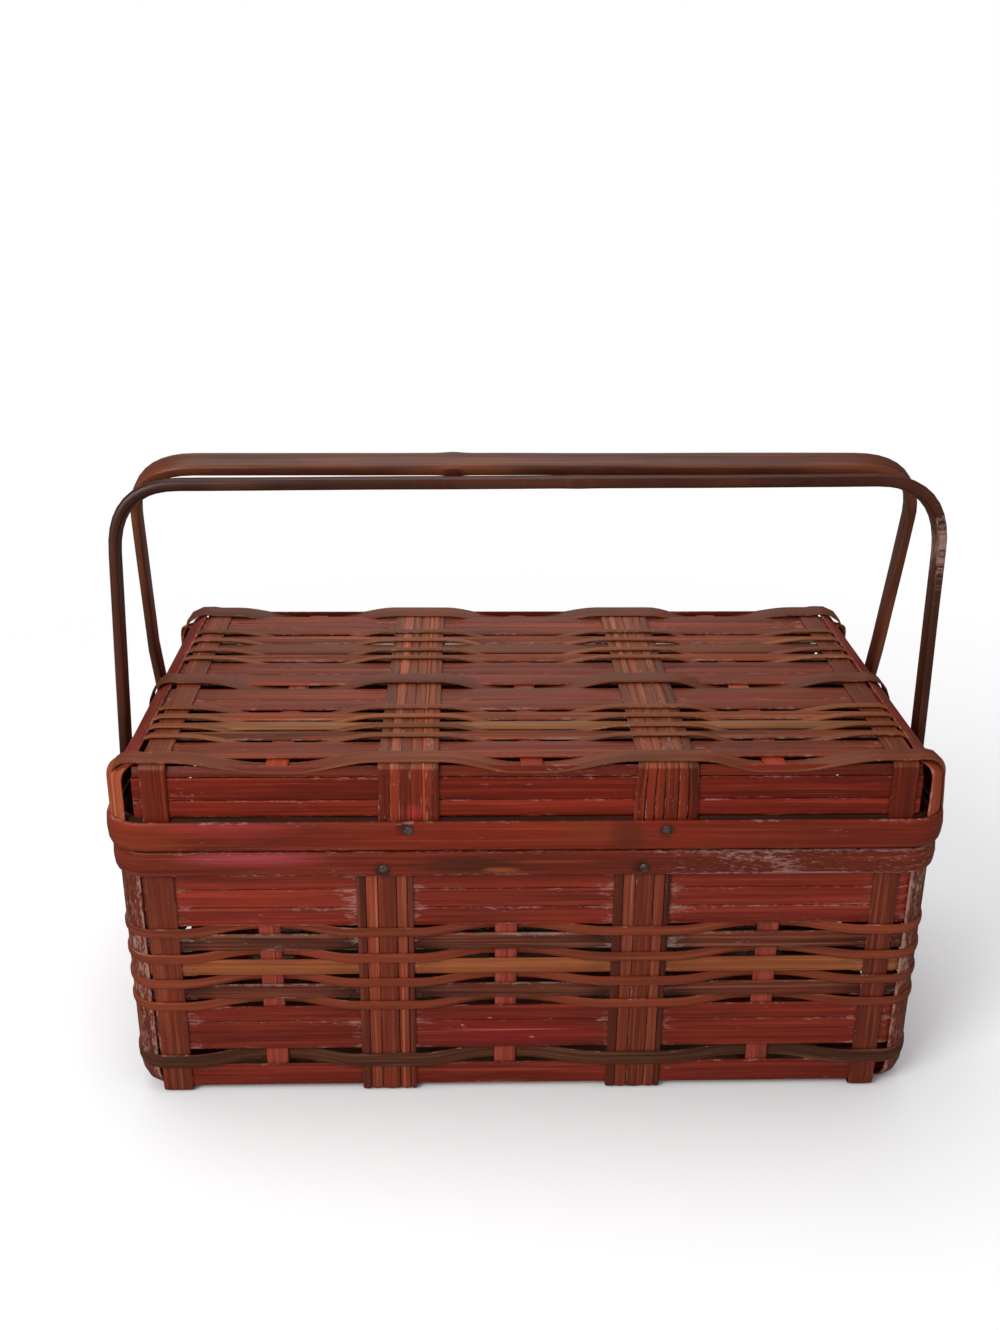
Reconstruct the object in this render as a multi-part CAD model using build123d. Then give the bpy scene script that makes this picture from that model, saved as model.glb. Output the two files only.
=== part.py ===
"""Picnic basket of woven bamboo splints: body, hinged lid and two folding bail handles.

Millimetres, +Z up, +Y to the back, origin in the middle of the base on the surface it stands on.
The body's wall is woven about one plane. Splint hoops lie in that plane, outer stakes run outside
it, inner stakes inside it, and the weavers pass over the outer stakes and behind the inner ones.
"""
from build123d import *
import math
import os

# Bamboo stock
SPLINT_T = 1.2
STAKE_T = 1.2
WEAVER_T = 0.9
BASE_T = 1.2
PLY_GAP = 0.05
ROW_GAP = 0.2
SLOPE_MARGIN = 2.5

# Body, measured to the plane of its hoops
BODY_HALF_X = 184.0
BODY_HALF_Y = 95.0
BODY_CORNER_R = 14.0
BODY_HEIGHT = 133.0
BODY_BAND_H = 13.0

# Lid, measured to the plane of its skirt and of its top splints
LID_OVERHANG = 1.5
LID_CORNER_R = 15.0
LID_SEAT_GAP = 0.3
LID_BAND_H = 14.8
LID_RISE = 40.3
LID_SKIRT_DROP = 6.2
LID_SKIRT_LIFT = 1.4
LID_OUTER_BEND_R = 3.8
LID_INNER_BEND_R = 1.4

# Rim bands
OUTER_BAND_T = 2.6
INNER_BAND_T = 2.0
CORE_GAP = 0.5

# Stakes that run from front to back; places as shares of the half length
BUNDLE_WIDTHS = [4.4, 5.4, 8.0, 4.6, 3.0]
BUNDLE_GAP = 0.12
CORNER_STAKE_W = 12.0
NARROW_STAKE_W = 10.0
BODY_CORNER_STAKE_IN = 20.0
BODY_BUNDLES = [-0.353, 0.283]
BODY_NARROW = [-0.644, -0.049, 0.609]
LID_CORNER_STAKE_IN = 21.0
LID_BUNDLES = [-0.288, 0.329]
LID_NARROW = [-0.598, 0.005, 0.585]
BASE_BEND_R = 2.4

# Stakes that run from side to side, and the posts on the rounded corners
SIDE_BUNDLE_WIDTHS = [8.0, 9.0, 8.0]
SIDE_NARROW = [-0.495, 0.495]
SIDE_BEND_R = 13.2
CORNER_POST_W = 11.0
CORNER_POST_FOOT_R = 13.2

# Weaver rows up the body; centres as shares of the height
BROWN_WEAVER_UP = 0.144
BROWN_WEAVER_H = 7.6
THIN_WEAVERS_UP = [0.377, 0.472, 0.577, 0.680]
THIN_WEAVER_H = 4.4
BOTTOM_SPLINT_Z = 3.2

# Weaver rows across the lid; centres as shares of the half depth
LID_BROWN_ROWS = [-0.935, -0.088, 0.935]
LID_BROWN_W = [7.4, 7.8, 7.4]
LID_THIN_FRONT_ROWS = [-0.730, -0.621, -0.512, -0.403]
LID_THIN_BACK_ROWS = [0.242, 0.371, 0.500, 0.628]

# Edge strips of the lid
EDGE_STRIP_T = 1.2
EDGE_STRIP_H = 3.4
SIDE_EDGE_W = 8.0
SIDE_EDGE_TILT = 30.0
SIDE_EDGE_T = 1.4
SIDE_EDGE_IN = 5.0
SIDE_EDGE_SHORT = 13.0
CORNER_STRIP_W = 10.0
CORNER_STRIP_T = 1.0
CORNER_STRIP_BEND_R = 5.0
CORNER_STRIP_RISE = 4.8

# Base splints between the side stakes, and the bent splints that close the lower side edges;
# places and widths as shares of the half depth
BASE_SPLINTS = [0.295, 0.705, 0.916]
BASE_SPLINT_WIDTHS = [0.263, 0.263, 0.132]
BASE_SPLINT_SHORT = 24.0
SIDE_SPLINT_W = 34.0
SIDE_SPLINT_SHORT = 11.0

# Nails
NAIL_R = 1.0
NAIL_HEAD_R = 2.0
NAIL_HEAD_H = 0.8
NAIL_CLEARANCE = 0.02
LID_NAIL_UP = 11.2
BODY_NAIL_DOWN = 8.8

# Lid hinge: two wire rings at the back, their places as shares of the half length
HINGE_OUT = 0.3
HINGE_RING_R = 4.6
HINGE_WIRE_R = 0.8
HINGE_HOLE_CLEARANCE = 0.35
HINGES = [-0.467, 0.467]

# Handles: the pivots on the rim and the bars that meet over the middle
PIVOT_DOWN = 6.5
FRONT_PIVOT = -0.358
BACK_PIVOT = 0.695
FRONT_BAR = -0.071
BACK_BAR = 0.072
FRONT_BAR_RISE = 150.4
BACK_BAR_RISE = 156.2
HANDLE_W = 11.5
LEG_T = 4.8
BAR_T = 6.2
LEG_SIDE_GAP = 0.6
BACK_LEG_OUT = 0.9
FRONT_LEFT_SPREAD = 0.4
FRONT_RIGHT_SPREAD = 7.0
BACK_LEFT_SPREAD = -6.9
BACK_RIGHT_SPREAD = -2.9
HANDLE_OUTER_R = 36.0
LEG_END = 6.5
FRONT_LEG_STRAIGHT = 9.0
BACK_LEG_STRAIGHT = 52.0
LEG_END_R = 5.0

# Pivot pins and washers
PIN_R = 2.0
PIN_HOLE_CLEARANCE = 0.08
PIN_SEAT_CLEARANCE = 0.05
PIN_HEAD_R = 4.0
PIN_HEAD_H = 1.8
WASHER_R = 5.2
WASHER_T = 0.8
WASHER_GAP = 0.1

# Layers of the weave, as distances from the wall plane
OUTER_STAKE = SPLINT_T / 2 + PLY_GAP + STAKE_T / 2
INNER_STAKE = -OUTER_STAKE
OUTER_WEAVER = OUTER_STAKE + STAKE_T / 2 + PLY_GAP + WEAVER_T / 2
INNER_WEAVER = -OUTER_WEAVER
OUTER_BAND = OUTER_STAKE + STAKE_T / 2 + PLY_GAP + OUTER_BAND_T / 2
INNER_BAND = -(OUTER_STAKE + STAKE_T / 2 + PLY_GAP + INNER_BAND_T / 2)

# Lengths and heights worked out from the values above
LID_HALF_X = BODY_HALF_X + LID_OVERHANG
LID_HALF_Y = BODY_HALF_Y + LID_OVERHANG
BODY_BAND_Z = BODY_HEIGHT - BODY_BAND_H
LID_BOTTOM_Z = BODY_HEIGHT + LID_SEAT_GAP
LID_BAND_TOP_Z = LID_BOTTOM_Z + LID_BAND_H
LID_TOP_Z = LID_BOTTOM_Z + LID_RISE
LID_SKIRT_TOP_Z = LID_TOP_Z - LID_SKIRT_DROP
BASE_OUTER_Z = STAKE_T / 2
BASE_MIDDLE_Z = STAKE_T + PLY_GAP + BASE_T / 2
BASE_INNER_Z = STAKE_T + BASE_T + 2 * PLY_GAP + STAKE_T / 2
HINGE_Y = LID_HALF_Y + OUTER_BAND + OUTER_BAND_T / 2 + HINGE_OUT
HINGE_Z = BODY_HEIGHT + LID_SEAT_GAP / 2
PIVOT_Z = BODY_HEIGHT - PIVOT_DOWN
BODY_BAND_OUT_X = BODY_HALF_X + OUTER_BAND + OUTER_BAND_T / 2
LID_BAND_OUT_X = LID_HALF_X + OUTER_BAND + OUTER_BAND_T / 2
FRONT_LEG_X = LID_BAND_OUT_X + LEG_SIDE_GAP + LEG_T / 2
BACK_LEG_X = FRONT_LEG_X + BACK_LEG_OUT

# Places of the stakes, weavers, nails and hinges
BODY_CORNER_STAKE_X = BODY_HALF_X - BODY_CORNER_STAKE_IN
BODY_BUNDLES_X = [share * BODY_HALF_X for share in BODY_BUNDLES]
BODY_NARROW_X = [share * BODY_HALF_X for share in BODY_NARROW]
LID_CORNER_STAKE_X = LID_HALF_X - LID_CORNER_STAKE_IN
LID_BUNDLES_X = [share * LID_HALF_X for share in LID_BUNDLES]
LID_NARROW_X = [share * LID_HALF_X for share in LID_NARROW]
SIDE_NARROW_Y = [share * BODY_HALF_Y for share in SIDE_NARROW]
BROWN_WEAVER_Z = BROWN_WEAVER_UP * BODY_HEIGHT
THIN_WEAVERS_Z = [share * BODY_HEIGHT for share in THIN_WEAVERS_UP]
LID_BROWN_Y = [share * LID_HALF_Y for share in LID_BROWN_ROWS]
LID_THIN_FRONT_Y = [share * LID_HALF_Y for share in LID_THIN_FRONT_ROWS]
LID_THIN_BACK_Y = [share * LID_HALF_Y for share in LID_THIN_BACK_ROWS]
BASE_SPLINT_Y = [share * BODY_HALF_Y for share in BASE_SPLINTS]
BASE_SPLINT_W = [share * BODY_HALF_Y for share in BASE_SPLINT_WIDTHS]
LID_NAIL_Z = LID_BOTTOM_Z + LID_NAIL_UP
BODY_NAIL_Z = BODY_HEIGHT - BODY_NAIL_DOWN
HINGE_X = [share * BODY_HALF_X for share in HINGES]
FRONT_PIVOT_Y = FRONT_PIVOT * BODY_HALF_Y
BACK_PIVOT_Y = BACK_PIVOT * BODY_HALF_Y


def band_ring(half_x, half_y, corner_r, layer, thickness, low_z, high_z):
    """A closed strip round the basket, with its face upright."""
    outer = layer + thickness / 2
    inner = layer - thickness / 2
    outside = RectangleRounded(2 * (half_x + outer), 2 * (half_y + outer), corner_r + outer)
    inside = RectangleRounded(2 * (half_x + inner), 2 * (half_y + inner), corner_r + inner)
    return Pos(0, 0, low_z) * extrude(outside - inside, high_z - low_z)


def round_bottomed(half_span, height, corner_r):
    """A rectangle that stands on the origin, with its two lower corners rounded."""
    shape = Rectangle(2 * half_span, height, align=(Align.CENTER, Align.MIN))
    return fillet(shape.vertices().sort_by(Axis.Y)[:2], corner_r)


def u_section(half_span, height, bend_r, thickness):
    """A U of a bent strip: half_span and bend_r reach its middle line, which lies on the origin."""
    half_t = thickness / 2
    outside = Pos(0, -half_t) * round_bottomed(half_span + half_t, height + half_t, bend_r + half_t)
    inside = Pos(0, half_t) * round_bottomed(half_span - half_t, height, bend_r - half_t)
    return outside - inside


def stake_front_to_back(centre_x, width, half_y, turn_z, end_z, bend_r):
    """A strip that crosses from front to back at turn_z and ends on both walls at end_z."""
    section = u_section(half_y, abs(end_z - turn_z), bend_r, STAKE_T)
    if end_z < turn_z:
        section = mirror(section, Plane.XZ)
    solid = extrude(Plane.YZ * section, width / 2, both=True)
    return Pos(centre_x, 0, turn_z) * solid


def stake_side_to_side(centre_y, width, half_x, turn_z, end_z, bend_r):
    """A strip that crosses from side to side under the base and rises on both sides."""
    section = u_section(half_x, end_z - turn_z, bend_r, STAKE_T)
    solid = extrude(Plane.XZ * section, width / 2, both=True)
    return Pos(0, centre_y, turn_z) * solid


def side_by_side(centre, widths):
    """Centre and width of each strip of a bundle."""
    total = sum(widths) + BUNDLE_GAP * (len(widths) - 1)
    edge = centre - total / 2
    strips = []
    for width in widths:
        strips.append((edge + width / 2, width))
        edge += width + BUNDLE_GAP
    return strips


def bundle_width(widths):
    return sum(widths) + BUNDLE_GAP * (len(widths) - 1)


def wave_points(crossings, end, hold, shift):
    """Points along a weaver: level over each stake, outside from hold to end, sloping between."""
    points = [(-end, OUTER_WEAVER + shift), (-hold, OUTER_WEAVER + shift)]
    for place, width, layer in sorted(crossings):
        reach = width / 2 + SLOPE_MARGIN
        points.append((place - reach, layer + shift))
        points.append((place + reach, layer + shift))
    return points + [(hold, OUTER_WEAVER + shift), (end, OUTER_WEAVER + shift)]


def weaver_outline(shift):
    """Closed outline of a body weaver in plan, shift outside its middle line."""
    straight_x = BODY_HALF_X - BODY_CORNER_R
    straight_y = BODY_HALF_Y - BODY_CORNER_R
    reach = BODY_CORNER_R + OUTER_WEAVER + shift
    front = [(x, bundle_width(BUNDLE_WIDTHS), OUTER_WEAVER) for x in BODY_BUNDLES_X]
    front += [(x, NARROW_STAKE_W, INNER_WEAVER) for x in BODY_NARROW_X]
    side = [(0, bundle_width(SIDE_BUNDLE_WIDTHS), OUTER_WEAVER)]
    side += [(y, NARROW_STAKE_W, INNER_WEAVER) for y in SIDE_NARROW_Y]
    hold_x = BODY_CORNER_STAKE_X - CORNER_STAKE_W / 2 - SLOPE_MARGIN
    front_wave = wave_points(front, straight_x, hold_x, shift)
    side_wave = wave_points(side, straight_y, straight_y - SLOPE_MARGIN, shift)
    outline = [
        Polyline([(x, -(BODY_HALF_Y + out)) for x, out in front_wave]),
        CenterArc((straight_x, -straight_y), reach, -90, 90),
        Polyline([(BODY_HALF_X + out, y) for y, out in side_wave]),
        CenterArc((straight_x, straight_y), reach, 0, 90),
        Polyline([(x, BODY_HALF_Y + out) for x, out in reversed(front_wave)]),
        CenterArc((-straight_x, straight_y), reach, 90, 90),
        Polyline([(-(BODY_HALF_X + out), y) for y, out in reversed(side_wave)]),
        CenterArc((-straight_x, -straight_y), reach, 180, 90),
    ]
    return make_face(Curve() + outline)


def body_weaver(centre_z, height):
    """A weaver round the body, over the outer stakes and behind the inner ones."""
    ring = weaver_outline(WEAVER_T / 2) - weaver_outline(-WEAVER_T / 2)
    return Pos(0, 0, centre_z - height / 2) * extrude(ring, height)


def lid_weaver(centre_y, width, ends):
    """A weaver across the lid; ends holds the points of its right end, as (x, height)."""
    crossings = [(x, bundle_width(BUNDLE_WIDTHS), OUTER_WEAVER) for x in LID_BUNDLES_X]
    crossings += [(x, NARROW_STAKE_W, INNER_WEAVER) for x in LID_NARROW_X]
    hold = CORNER_STAKE_W / 2 + SLOPE_MARGIN
    points = wave_points(crossings, LID_CORNER_STAKE_X + hold, LID_CORNER_STAKE_X - hold, 0)
    left = [(-x, height) for x, height in reversed(ends)]
    line = Polyline(left + points + ends)
    strip = trace(line, WEAVER_T)
    return Pos(0, centre_y, LID_TOP_Z) * extrude(Plane.XZ * strip, width / 2, both=True)


def wire_ring(x, wire_r):
    """A ring of round wire about the lid's hinge axis."""
    wire = Plane.XY * Pos(HINGE_RING_R, 0) * Circle(wire_r)
    ring = revolve(wire, Axis.Y)
    return Pos(x, HINGE_Y, HINGE_Z) * Rot(0, 0, 90) * ring


def hinge_holes():
    """What the wire rings take out of the two rims."""
    holes = [wire_ring(x, HINGE_WIRE_R + HINGE_HOLE_CLEARANCE) for x in HINGE_X]
    return Compound(children=holes)


def nail(place, direction):
    """A nail with a low round head, its shank in the band behind it."""
    head = Pos(0, 0, NAIL_HEAD_H / 2) * Cylinder(NAIL_HEAD_R, NAIL_HEAD_H)
    head = fillet(head.edges().group_by(Axis.Z)[-1], NAIL_HEAD_H * 0.6)
    shank = Pos(0, 0, -OUTER_BAND_T / 2) * Cylinder(NAIL_R, OUTER_BAND_T)
    return Plane(origin=place, z_dir=direction) * (head + shank)


def nail_hole(place, direction):
    hole = Cylinder(NAIL_R + NAIL_CLEARANCE, 3 * OUTER_BAND_T)
    return Plane(origin=place, z_dir=direction) * hole


def nail_places(half_x, half_y, xs, z):
    """Nails over the bundles at the front and back, and one in the middle of each side."""
    out = OUTER_BAND + OUTER_BAND_T / 2
    places = [((x, -(half_y + out), z), (0, -1, 0)) for x in xs]
    places += [((x, half_y + out, z), (0, 1, 0)) for x in xs]
    places += [((side * (half_x + out), 0, z), (side, 0, 0)) for side in (-1, 1)]
    return places


def pivot_places():
    """The four pivots: side, leg's middle in x, and y."""
    places = []
    for side in (-1, 1):
        places.append((side, FRONT_LEG_X, FRONT_PIVOT_Y))
        places.append((side, BACK_LEG_X, BACK_PIVOT_Y))
    return places


def pivot_cylinder(side, y, near_x, far_x, radius):
    """A cylinder on a pivot's axis, from near_x to far_x on that side."""
    length = far_x - near_x
    middle = side * (near_x + far_x) / 2
    return Pos(middle, y, PIVOT_Z) * Rot(0, 90, 0) * Cylinder(radius, length)


def pivot_holes(radius):
    """Holes for all four pins through the rim of the body."""
    inside = BODY_HALF_X + INNER_BAND - INNER_BAND_T
    outside = BODY_BAND_OUT_X + 1
    return Compound(children=[
        pivot_cylinder(side, y, inside, outside, radius) for side, leg_x, y in pivot_places()
    ])


def pivot_pin(side, leg_x, y):
    """A pin with its head outside the leg and its clinched end inside the rim."""
    inner_x = BODY_HALF_X + INNER_BAND - INNER_BAND_T / 2 - PIN_SEAT_CLEARANCE
    washer_x = leg_x + LEG_T / 2 + WASHER_GAP + WASHER_T + PIN_SEAT_CLEARANCE
    shank = pivot_cylinder(side, y, inner_x - 1, washer_x + 1, PIN_R)
    clinch = pivot_cylinder(side, y, inner_x - 1, inner_x, PIN_HEAD_R)
    head = pivot_cylinder(side, y, washer_x, washer_x + PIN_HEAD_H, PIN_HEAD_R)
    top = head.edges().group_by(Axis.X)[-1 if side > 0 else 0]
    head = fillet(top, PIN_HEAD_H * 0.8)
    return shank + clinch + head


def washer(side, y, near_x, thickness):
    ring = pivot_cylinder(side, y, near_x, near_x + thickness, WASHER_R)
    return ring - pivot_cylinder(side, y, near_x - 1, near_x + thickness + 1, PIN_R + PIN_SEAT_CLEARANCE)


def handle(pivot_y, bar_y, bar_rise, leg_x, straight, left_spread, right_spread):
    """A bent bamboo hoop, drawn flat in the plane through its pivots and its bar.

    Each leg runs straight past the lid's rim and then spreads or closes towards the bar.
    """
    reach = math.hypot(bar_y - pivot_y, bar_rise)
    lean_y = (bar_y - pivot_y) / reach
    lean_z = bar_rise / reach
    top_left_x = leg_x + left_spread
    top_right_x = leg_x + right_spread
    plane = Plane(origin=(0, pivot_y, PIVOT_Z), x_dir=(1, 0, 0), z_dir=(0, -lean_z, lean_y))
    half_leg = LEG_T / 2
    half_bar = BAR_T / 2
    inner_r = HANDLE_OUTER_R - half_leg - half_bar

    def frame_outline(grow_leg, grow_bar, foot):
        return make_face(Polyline([
            (-leg_x - grow_leg, -foot),
            (-leg_x - grow_leg, straight),
            (-top_left_x - grow_leg, reach + grow_bar),
            (top_right_x + grow_leg, reach + grow_bar),
            (leg_x + grow_leg, straight),
            (leg_x + grow_leg, -foot),
        ], close=True))

    outside = frame_outline(half_leg, half_bar, LEG_END)
    outside = fillet(outside.vertices().sort_by(Axis.Y)[-2:], HANDLE_OUTER_R)
    inside = frame_outline(-half_leg, -half_bar, LEG_END)
    inside = fillet(inside.vertices().sort_by(Axis.Y)[-2:], inner_r)
    hoop = extrude(plane * (outside - inside), HANDLE_W / 2, both=True)
    feet = [edge for edge in hoop.edges().filter_by(Axis.X) if edge.length < 2 * LEG_T]
    hoop = fillet(feet, LEG_END_R)
    for side in (-1, 1):
        hole = pivot_cylinder(side, pivot_y, leg_x - LEG_T, leg_x + LEG_T, PIN_R + PIN_HOLE_CLEARANCE)
        hoop = hoop - hole
    return hoop


def body_stakes():
    """Stakes of the body that run from front to back under the base."""
    top_z = BODY_HEIGHT - CORE_GAP
    outer_y = BODY_HALF_Y + OUTER_STAKE
    inner_y = BODY_HALF_Y + INNER_STAKE
    nodes = {}
    for name, centre in zip(("body_bundle_left", "body_bundle_right"), BODY_BUNDLES_X):
        nodes[name] = [
            stake_front_to_back(x, width, outer_y, BASE_OUTER_Z, top_z, BASE_BEND_R)
            for x, width in side_by_side(centre, BUNDLE_WIDTHS)
        ]
    nodes["body_corner_stakes"] = [
        stake_front_to_back(x, CORNER_STAKE_W, outer_y, BASE_OUTER_Z, top_z, BASE_BEND_R)
        for x in (-BODY_CORNER_STAKE_X, BODY_CORNER_STAKE_X)
    ]
    nodes["body_narrow_stakes"] = [
        stake_front_to_back(x, NARROW_STAKE_W, inner_y, BASE_INNER_Z, top_z, BASE_BEND_R)
        for x in BODY_NARROW_X
    ]
    return nodes


def side_stakes():
    """Stakes of the body that run from side to side, between the two layers of the base."""
    top_z = BODY_HEIGHT - CORE_GAP
    outer_x = BODY_HALF_X + OUTER_STAKE
    inner_x = BODY_HALF_X + INNER_STAKE
    return {
        "side_bundle": [
            stake_side_to_side(y, width, outer_x, BASE_MIDDLE_Z, top_z, SIDE_BEND_R)
            for y, width in side_by_side(0, SIDE_BUNDLE_WIDTHS)
        ],
        "side_narrow_stakes": [
            stake_side_to_side(y, NARROW_STAKE_W, inner_x, BASE_MIDDLE_Z, top_z, SIDE_BEND_R)
            for y in SIDE_NARROW_Y
        ],
    }


def corner_post(side_x, side_y):
    """A stake on a rounded corner, its foot bent in under the base."""
    middle_r = BODY_CORNER_R + OUTER_STAKE
    inner_r = middle_r - STAKE_T / 2
    outer_r = middle_r + STAKE_T / 2
    start_z = BASE_MIDDLE_Z + CORNER_POST_FOOT_R
    ring = Circle(outer_r) - Circle(inner_r)
    slice_of_ring = ring & Pos(outer_r / 2, 0) * Rectangle(outer_r + 2, CORNER_POST_W)
    post = Pos(0, 0, start_z) * extrude(slice_of_ring, BODY_HEIGHT - CORE_GAP - start_z)
    foot = Plane.XZ * Pos(middle_r - CORNER_POST_FOOT_R, start_z) * (
        Circle(CORNER_POST_FOOT_R + STAKE_T / 2) - Circle(CORNER_POST_FOOT_R - STAKE_T / 2)
    )
    quarter = Plane.XZ * Pos(middle_r, BASE_MIDDLE_Z) * Rectangle(
        2 * CORNER_POST_FOOT_R, 2 * CORNER_POST_FOOT_R
    )
    foot = extrude(foot & quarter, CORNER_POST_W / 2, both=True)
    angle = math.degrees(math.atan2(side_y, side_x))
    centre = Pos(side_x * (BODY_HALF_X - BODY_CORNER_R), side_y * (BODY_HALF_Y - BODY_CORNER_R))
    return centre * Rot(0, 0, angle) * (post + foot)


def body_hoops():
    """Splint hoops of the body, each filling the space between two weavers."""
    half_thin = THIN_WEAVER_H / 2 + ROW_GAP
    half_brown = BROWN_WEAVER_H / 2 + ROW_GAP
    thin = THIN_WEAVERS_Z
    rows = {
        "lower_red_hoop": (BROWN_WEAVER_Z + half_brown, thin[0] - half_thin),
        "lower_grey_hoop": (thin[0] + half_thin, thin[1] - half_thin),
        "tan_hoop": (thin[1] + half_thin, thin[2] - half_thin),
        "upper_grey_hoop": (thin[2] + half_thin, thin[3] - half_thin),
        "upper_red_hoop": (thin[3] + half_thin, BODY_BAND_Z - CORE_GAP),
    }
    nodes = {}
    for name, (low_z, high_z) in rows.items():
        nodes[name] = [band_ring(BODY_HALF_X, BODY_HALF_Y, BODY_CORNER_R, 0, SPLINT_T, low_z, high_z)]
    return nodes


def bottom_splints():
    """The lowest splint of the front and of the back, its ends behind the corner stakes."""
    top_z = BROWN_WEAVER_Z - BROWN_WEAVER_H / 2 - ROW_GAP
    length = 2 * (BODY_HALF_X - BODY_CORNER_R - 1)
    splint = Box(length, SPLINT_T, top_z - BOTTOM_SPLINT_Z, align=(Align.CENTER, Align.CENTER, Align.MIN))
    return [Pos(0, side * BODY_HALF_Y, BOTTOM_SPLINT_Z) * splint for side in (-1, 1)]


def base_splints():
    """Flat splints that close the base between the side stakes."""
    return [
        Pos(0, side * y, BASE_MIDDLE_Z) * Box(2 * (BODY_HALF_X - BASE_SPLINT_SHORT), width, BASE_T)
        for y, width in zip(BASE_SPLINT_Y, BASE_SPLINT_W) for side in (-1, 1)
    ]


def side_bottom_splints():
    """Splints bent inside the side stakes, which close the lower edge of each side wall."""
    inside_x = BODY_HALF_X + INNER_STAKE - STAKE_T / 2 - PLY_GAP - SPLINT_T / 2
    bend_r = SIDE_BEND_R - STAKE_T / 2 - PLY_GAP - SPLINT_T / 2
    section = u_section(inside_x, bend_r, bend_r, SPLINT_T)
    section -= Rectangle(2 * (BODY_HALF_X - SIDE_SPLINT_W), 2 * SIDE_BEND_R)
    strips = extrude(Plane.XZ * section, BODY_HALF_Y - SIDE_SPLINT_SHORT, both=True)
    return [Pos(0, 0, BASE_INNER_Z) * strip for strip in strips.solids()]


def body_rim():
    """Rim of the body: core, inner band and outer band, with the holes that go through them."""
    size = (BODY_HALF_X, BODY_HALF_Y, BODY_CORNER_R)
    holes = hinge_holes()
    pins = pivot_holes(PIN_R + PIN_SEAT_CLEARANCE)
    core = band_ring(*size, 0, SPLINT_T, BODY_BAND_Z, BODY_HEIGHT - CORE_GAP) - holes - pins
    inner = band_ring(*size, INNER_BAND, INNER_BAND_T, BODY_BAND_Z, BODY_HEIGHT) - holes - pins
    outer = band_ring(*size, OUTER_BAND, OUTER_BAND_T, BODY_BAND_Z, BODY_HEIGHT) - holes - pins
    places = nail_places(BODY_HALF_X, BODY_HALF_Y, BODY_BUNDLES_X, BODY_NAIL_Z)
    for place, direction in places:
        outer = outer - nail_hole(place, direction)
    return {
        "body_rim_core": [core],
        "body_inner_band": [inner],
        "body_outer_band": [outer],
        "body_nails": [nail(place, direction) for place, direction in places],
    }


def lid_stakes():
    """Stakes of the lid: over the top from front to back, with both ends down inside the rim."""
    end_z = LID_BOTTOM_Z + CORE_GAP
    outer_y = LID_HALF_Y + OUTER_STAKE
    inner_y = LID_HALF_Y + INNER_STAKE
    outer_z = LID_TOP_Z + OUTER_STAKE
    inner_z = LID_TOP_Z + INNER_STAKE
    nodes = {}
    for name, centre in zip(("lid_bundle_left", "lid_bundle_right"), LID_BUNDLES_X):
        nodes[name] = [
            stake_front_to_back(x, width, outer_y, outer_z, end_z, LID_OUTER_BEND_R)
            for x, width in side_by_side(centre, BUNDLE_WIDTHS)
        ]
    nodes["lid_corner_stakes"] = [
        stake_front_to_back(x, CORNER_STAKE_W, outer_y, outer_z, end_z, LID_OUTER_BEND_R)
        for x in (-LID_CORNER_STAKE_X, LID_CORNER_STAKE_X)
    ]
    nodes["lid_narrow_stakes"] = [
        stake_front_to_back(x, NARROW_STAKE_W, inner_y, inner_z, end_z, LID_INNER_BEND_R)
        for x in LID_NARROW_X
    ]
    return nodes


def lid_splints():
    """Splints of the lid's top, each filling the space between two weavers."""
    half_thin = THIN_WEAVER_H / 2 + ROW_GAP
    front = LID_THIN_FRONT_Y
    back = LID_THIN_BACK_Y
    brown = [(y, width / 2 + ROW_GAP) for y, width in zip(LID_BROWN_Y, LID_BROWN_W)]
    side_end_x = LID_HALF_X - SIDE_EDGE_IN - SIDE_EDGE_W / 2
    corner_end_x = LID_HALF_X - LID_CORNER_R

    def splint(low_y, high_y, end_x=side_end_x):
        box = Box(2 * end_x, high_y - low_y, SPLINT_T)
        return Pos(0, (low_y + high_y) / 2, LID_TOP_Z) * box

    def between(weavers, index):
        return splint(weavers[index] + half_thin, weavers[index + 1] - half_thin)

    return {
        "lid_red_splints": [
            splint(brown[0][0] + brown[0][1], front[0] - half_thin, corner_end_x),
            splint(front[3] + half_thin, brown[1][0] - brown[1][1]),
            splint(brown[1][0] + brown[1][1], back[0] - half_thin),
            splint(back[3] + half_thin, brown[2][0] - brown[2][1], corner_end_x),
        ],
        "lid_grey_splints": [between(front, 0), between(front, 2), between(back, 0), between(back, 2)],
        "lid_tan_splints": [between(front, 1), between(back, 1)],
    }


def lid_weavers():
    """Weavers of the lid's top; the middle brown one goes on down the sides under the rim band."""
    side_end_x = LID_HALF_X - SIDE_EDGE_IN - SIDE_EDGE_W / 2
    tuck = [(side_end_x, SPLINT_T / 2 + WEAVER_T / 2 + PLY_GAP)]
    over_edge = SIDE_EDGE_W / 2 * math.sin(math.radians(SIDE_EDGE_TILT)) + SIDE_EDGE_T + WEAVER_T
    tail_x = LID_HALF_X + SPLINT_T / 2 + PLY_GAP + WEAVER_T / 2
    drop = [
        (side_end_x + 1, over_edge),
        (tail_x - 3.5, over_edge - 1.0),
        (tail_x, over_edge - 5.5),
        (tail_x, LID_BOTTOM_Z + CORE_GAP - LID_TOP_Z),
    ]
    thin = [lid_weaver(y, THIN_WEAVER_H, tuck) for y in LID_THIN_FRONT_Y + LID_THIN_BACK_Y]
    brown = [
        lid_weaver(LID_BROWN_Y[0], LID_BROWN_W[0], tuck),
        lid_weaver(LID_BROWN_Y[1], LID_BROWN_W[1], drop),
        lid_weaver(LID_BROWN_Y[2], LID_BROWN_W[2], tuck),
    ]
    return {"lid_thin_weavers": thin, "lid_brown_weavers": brown}


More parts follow.
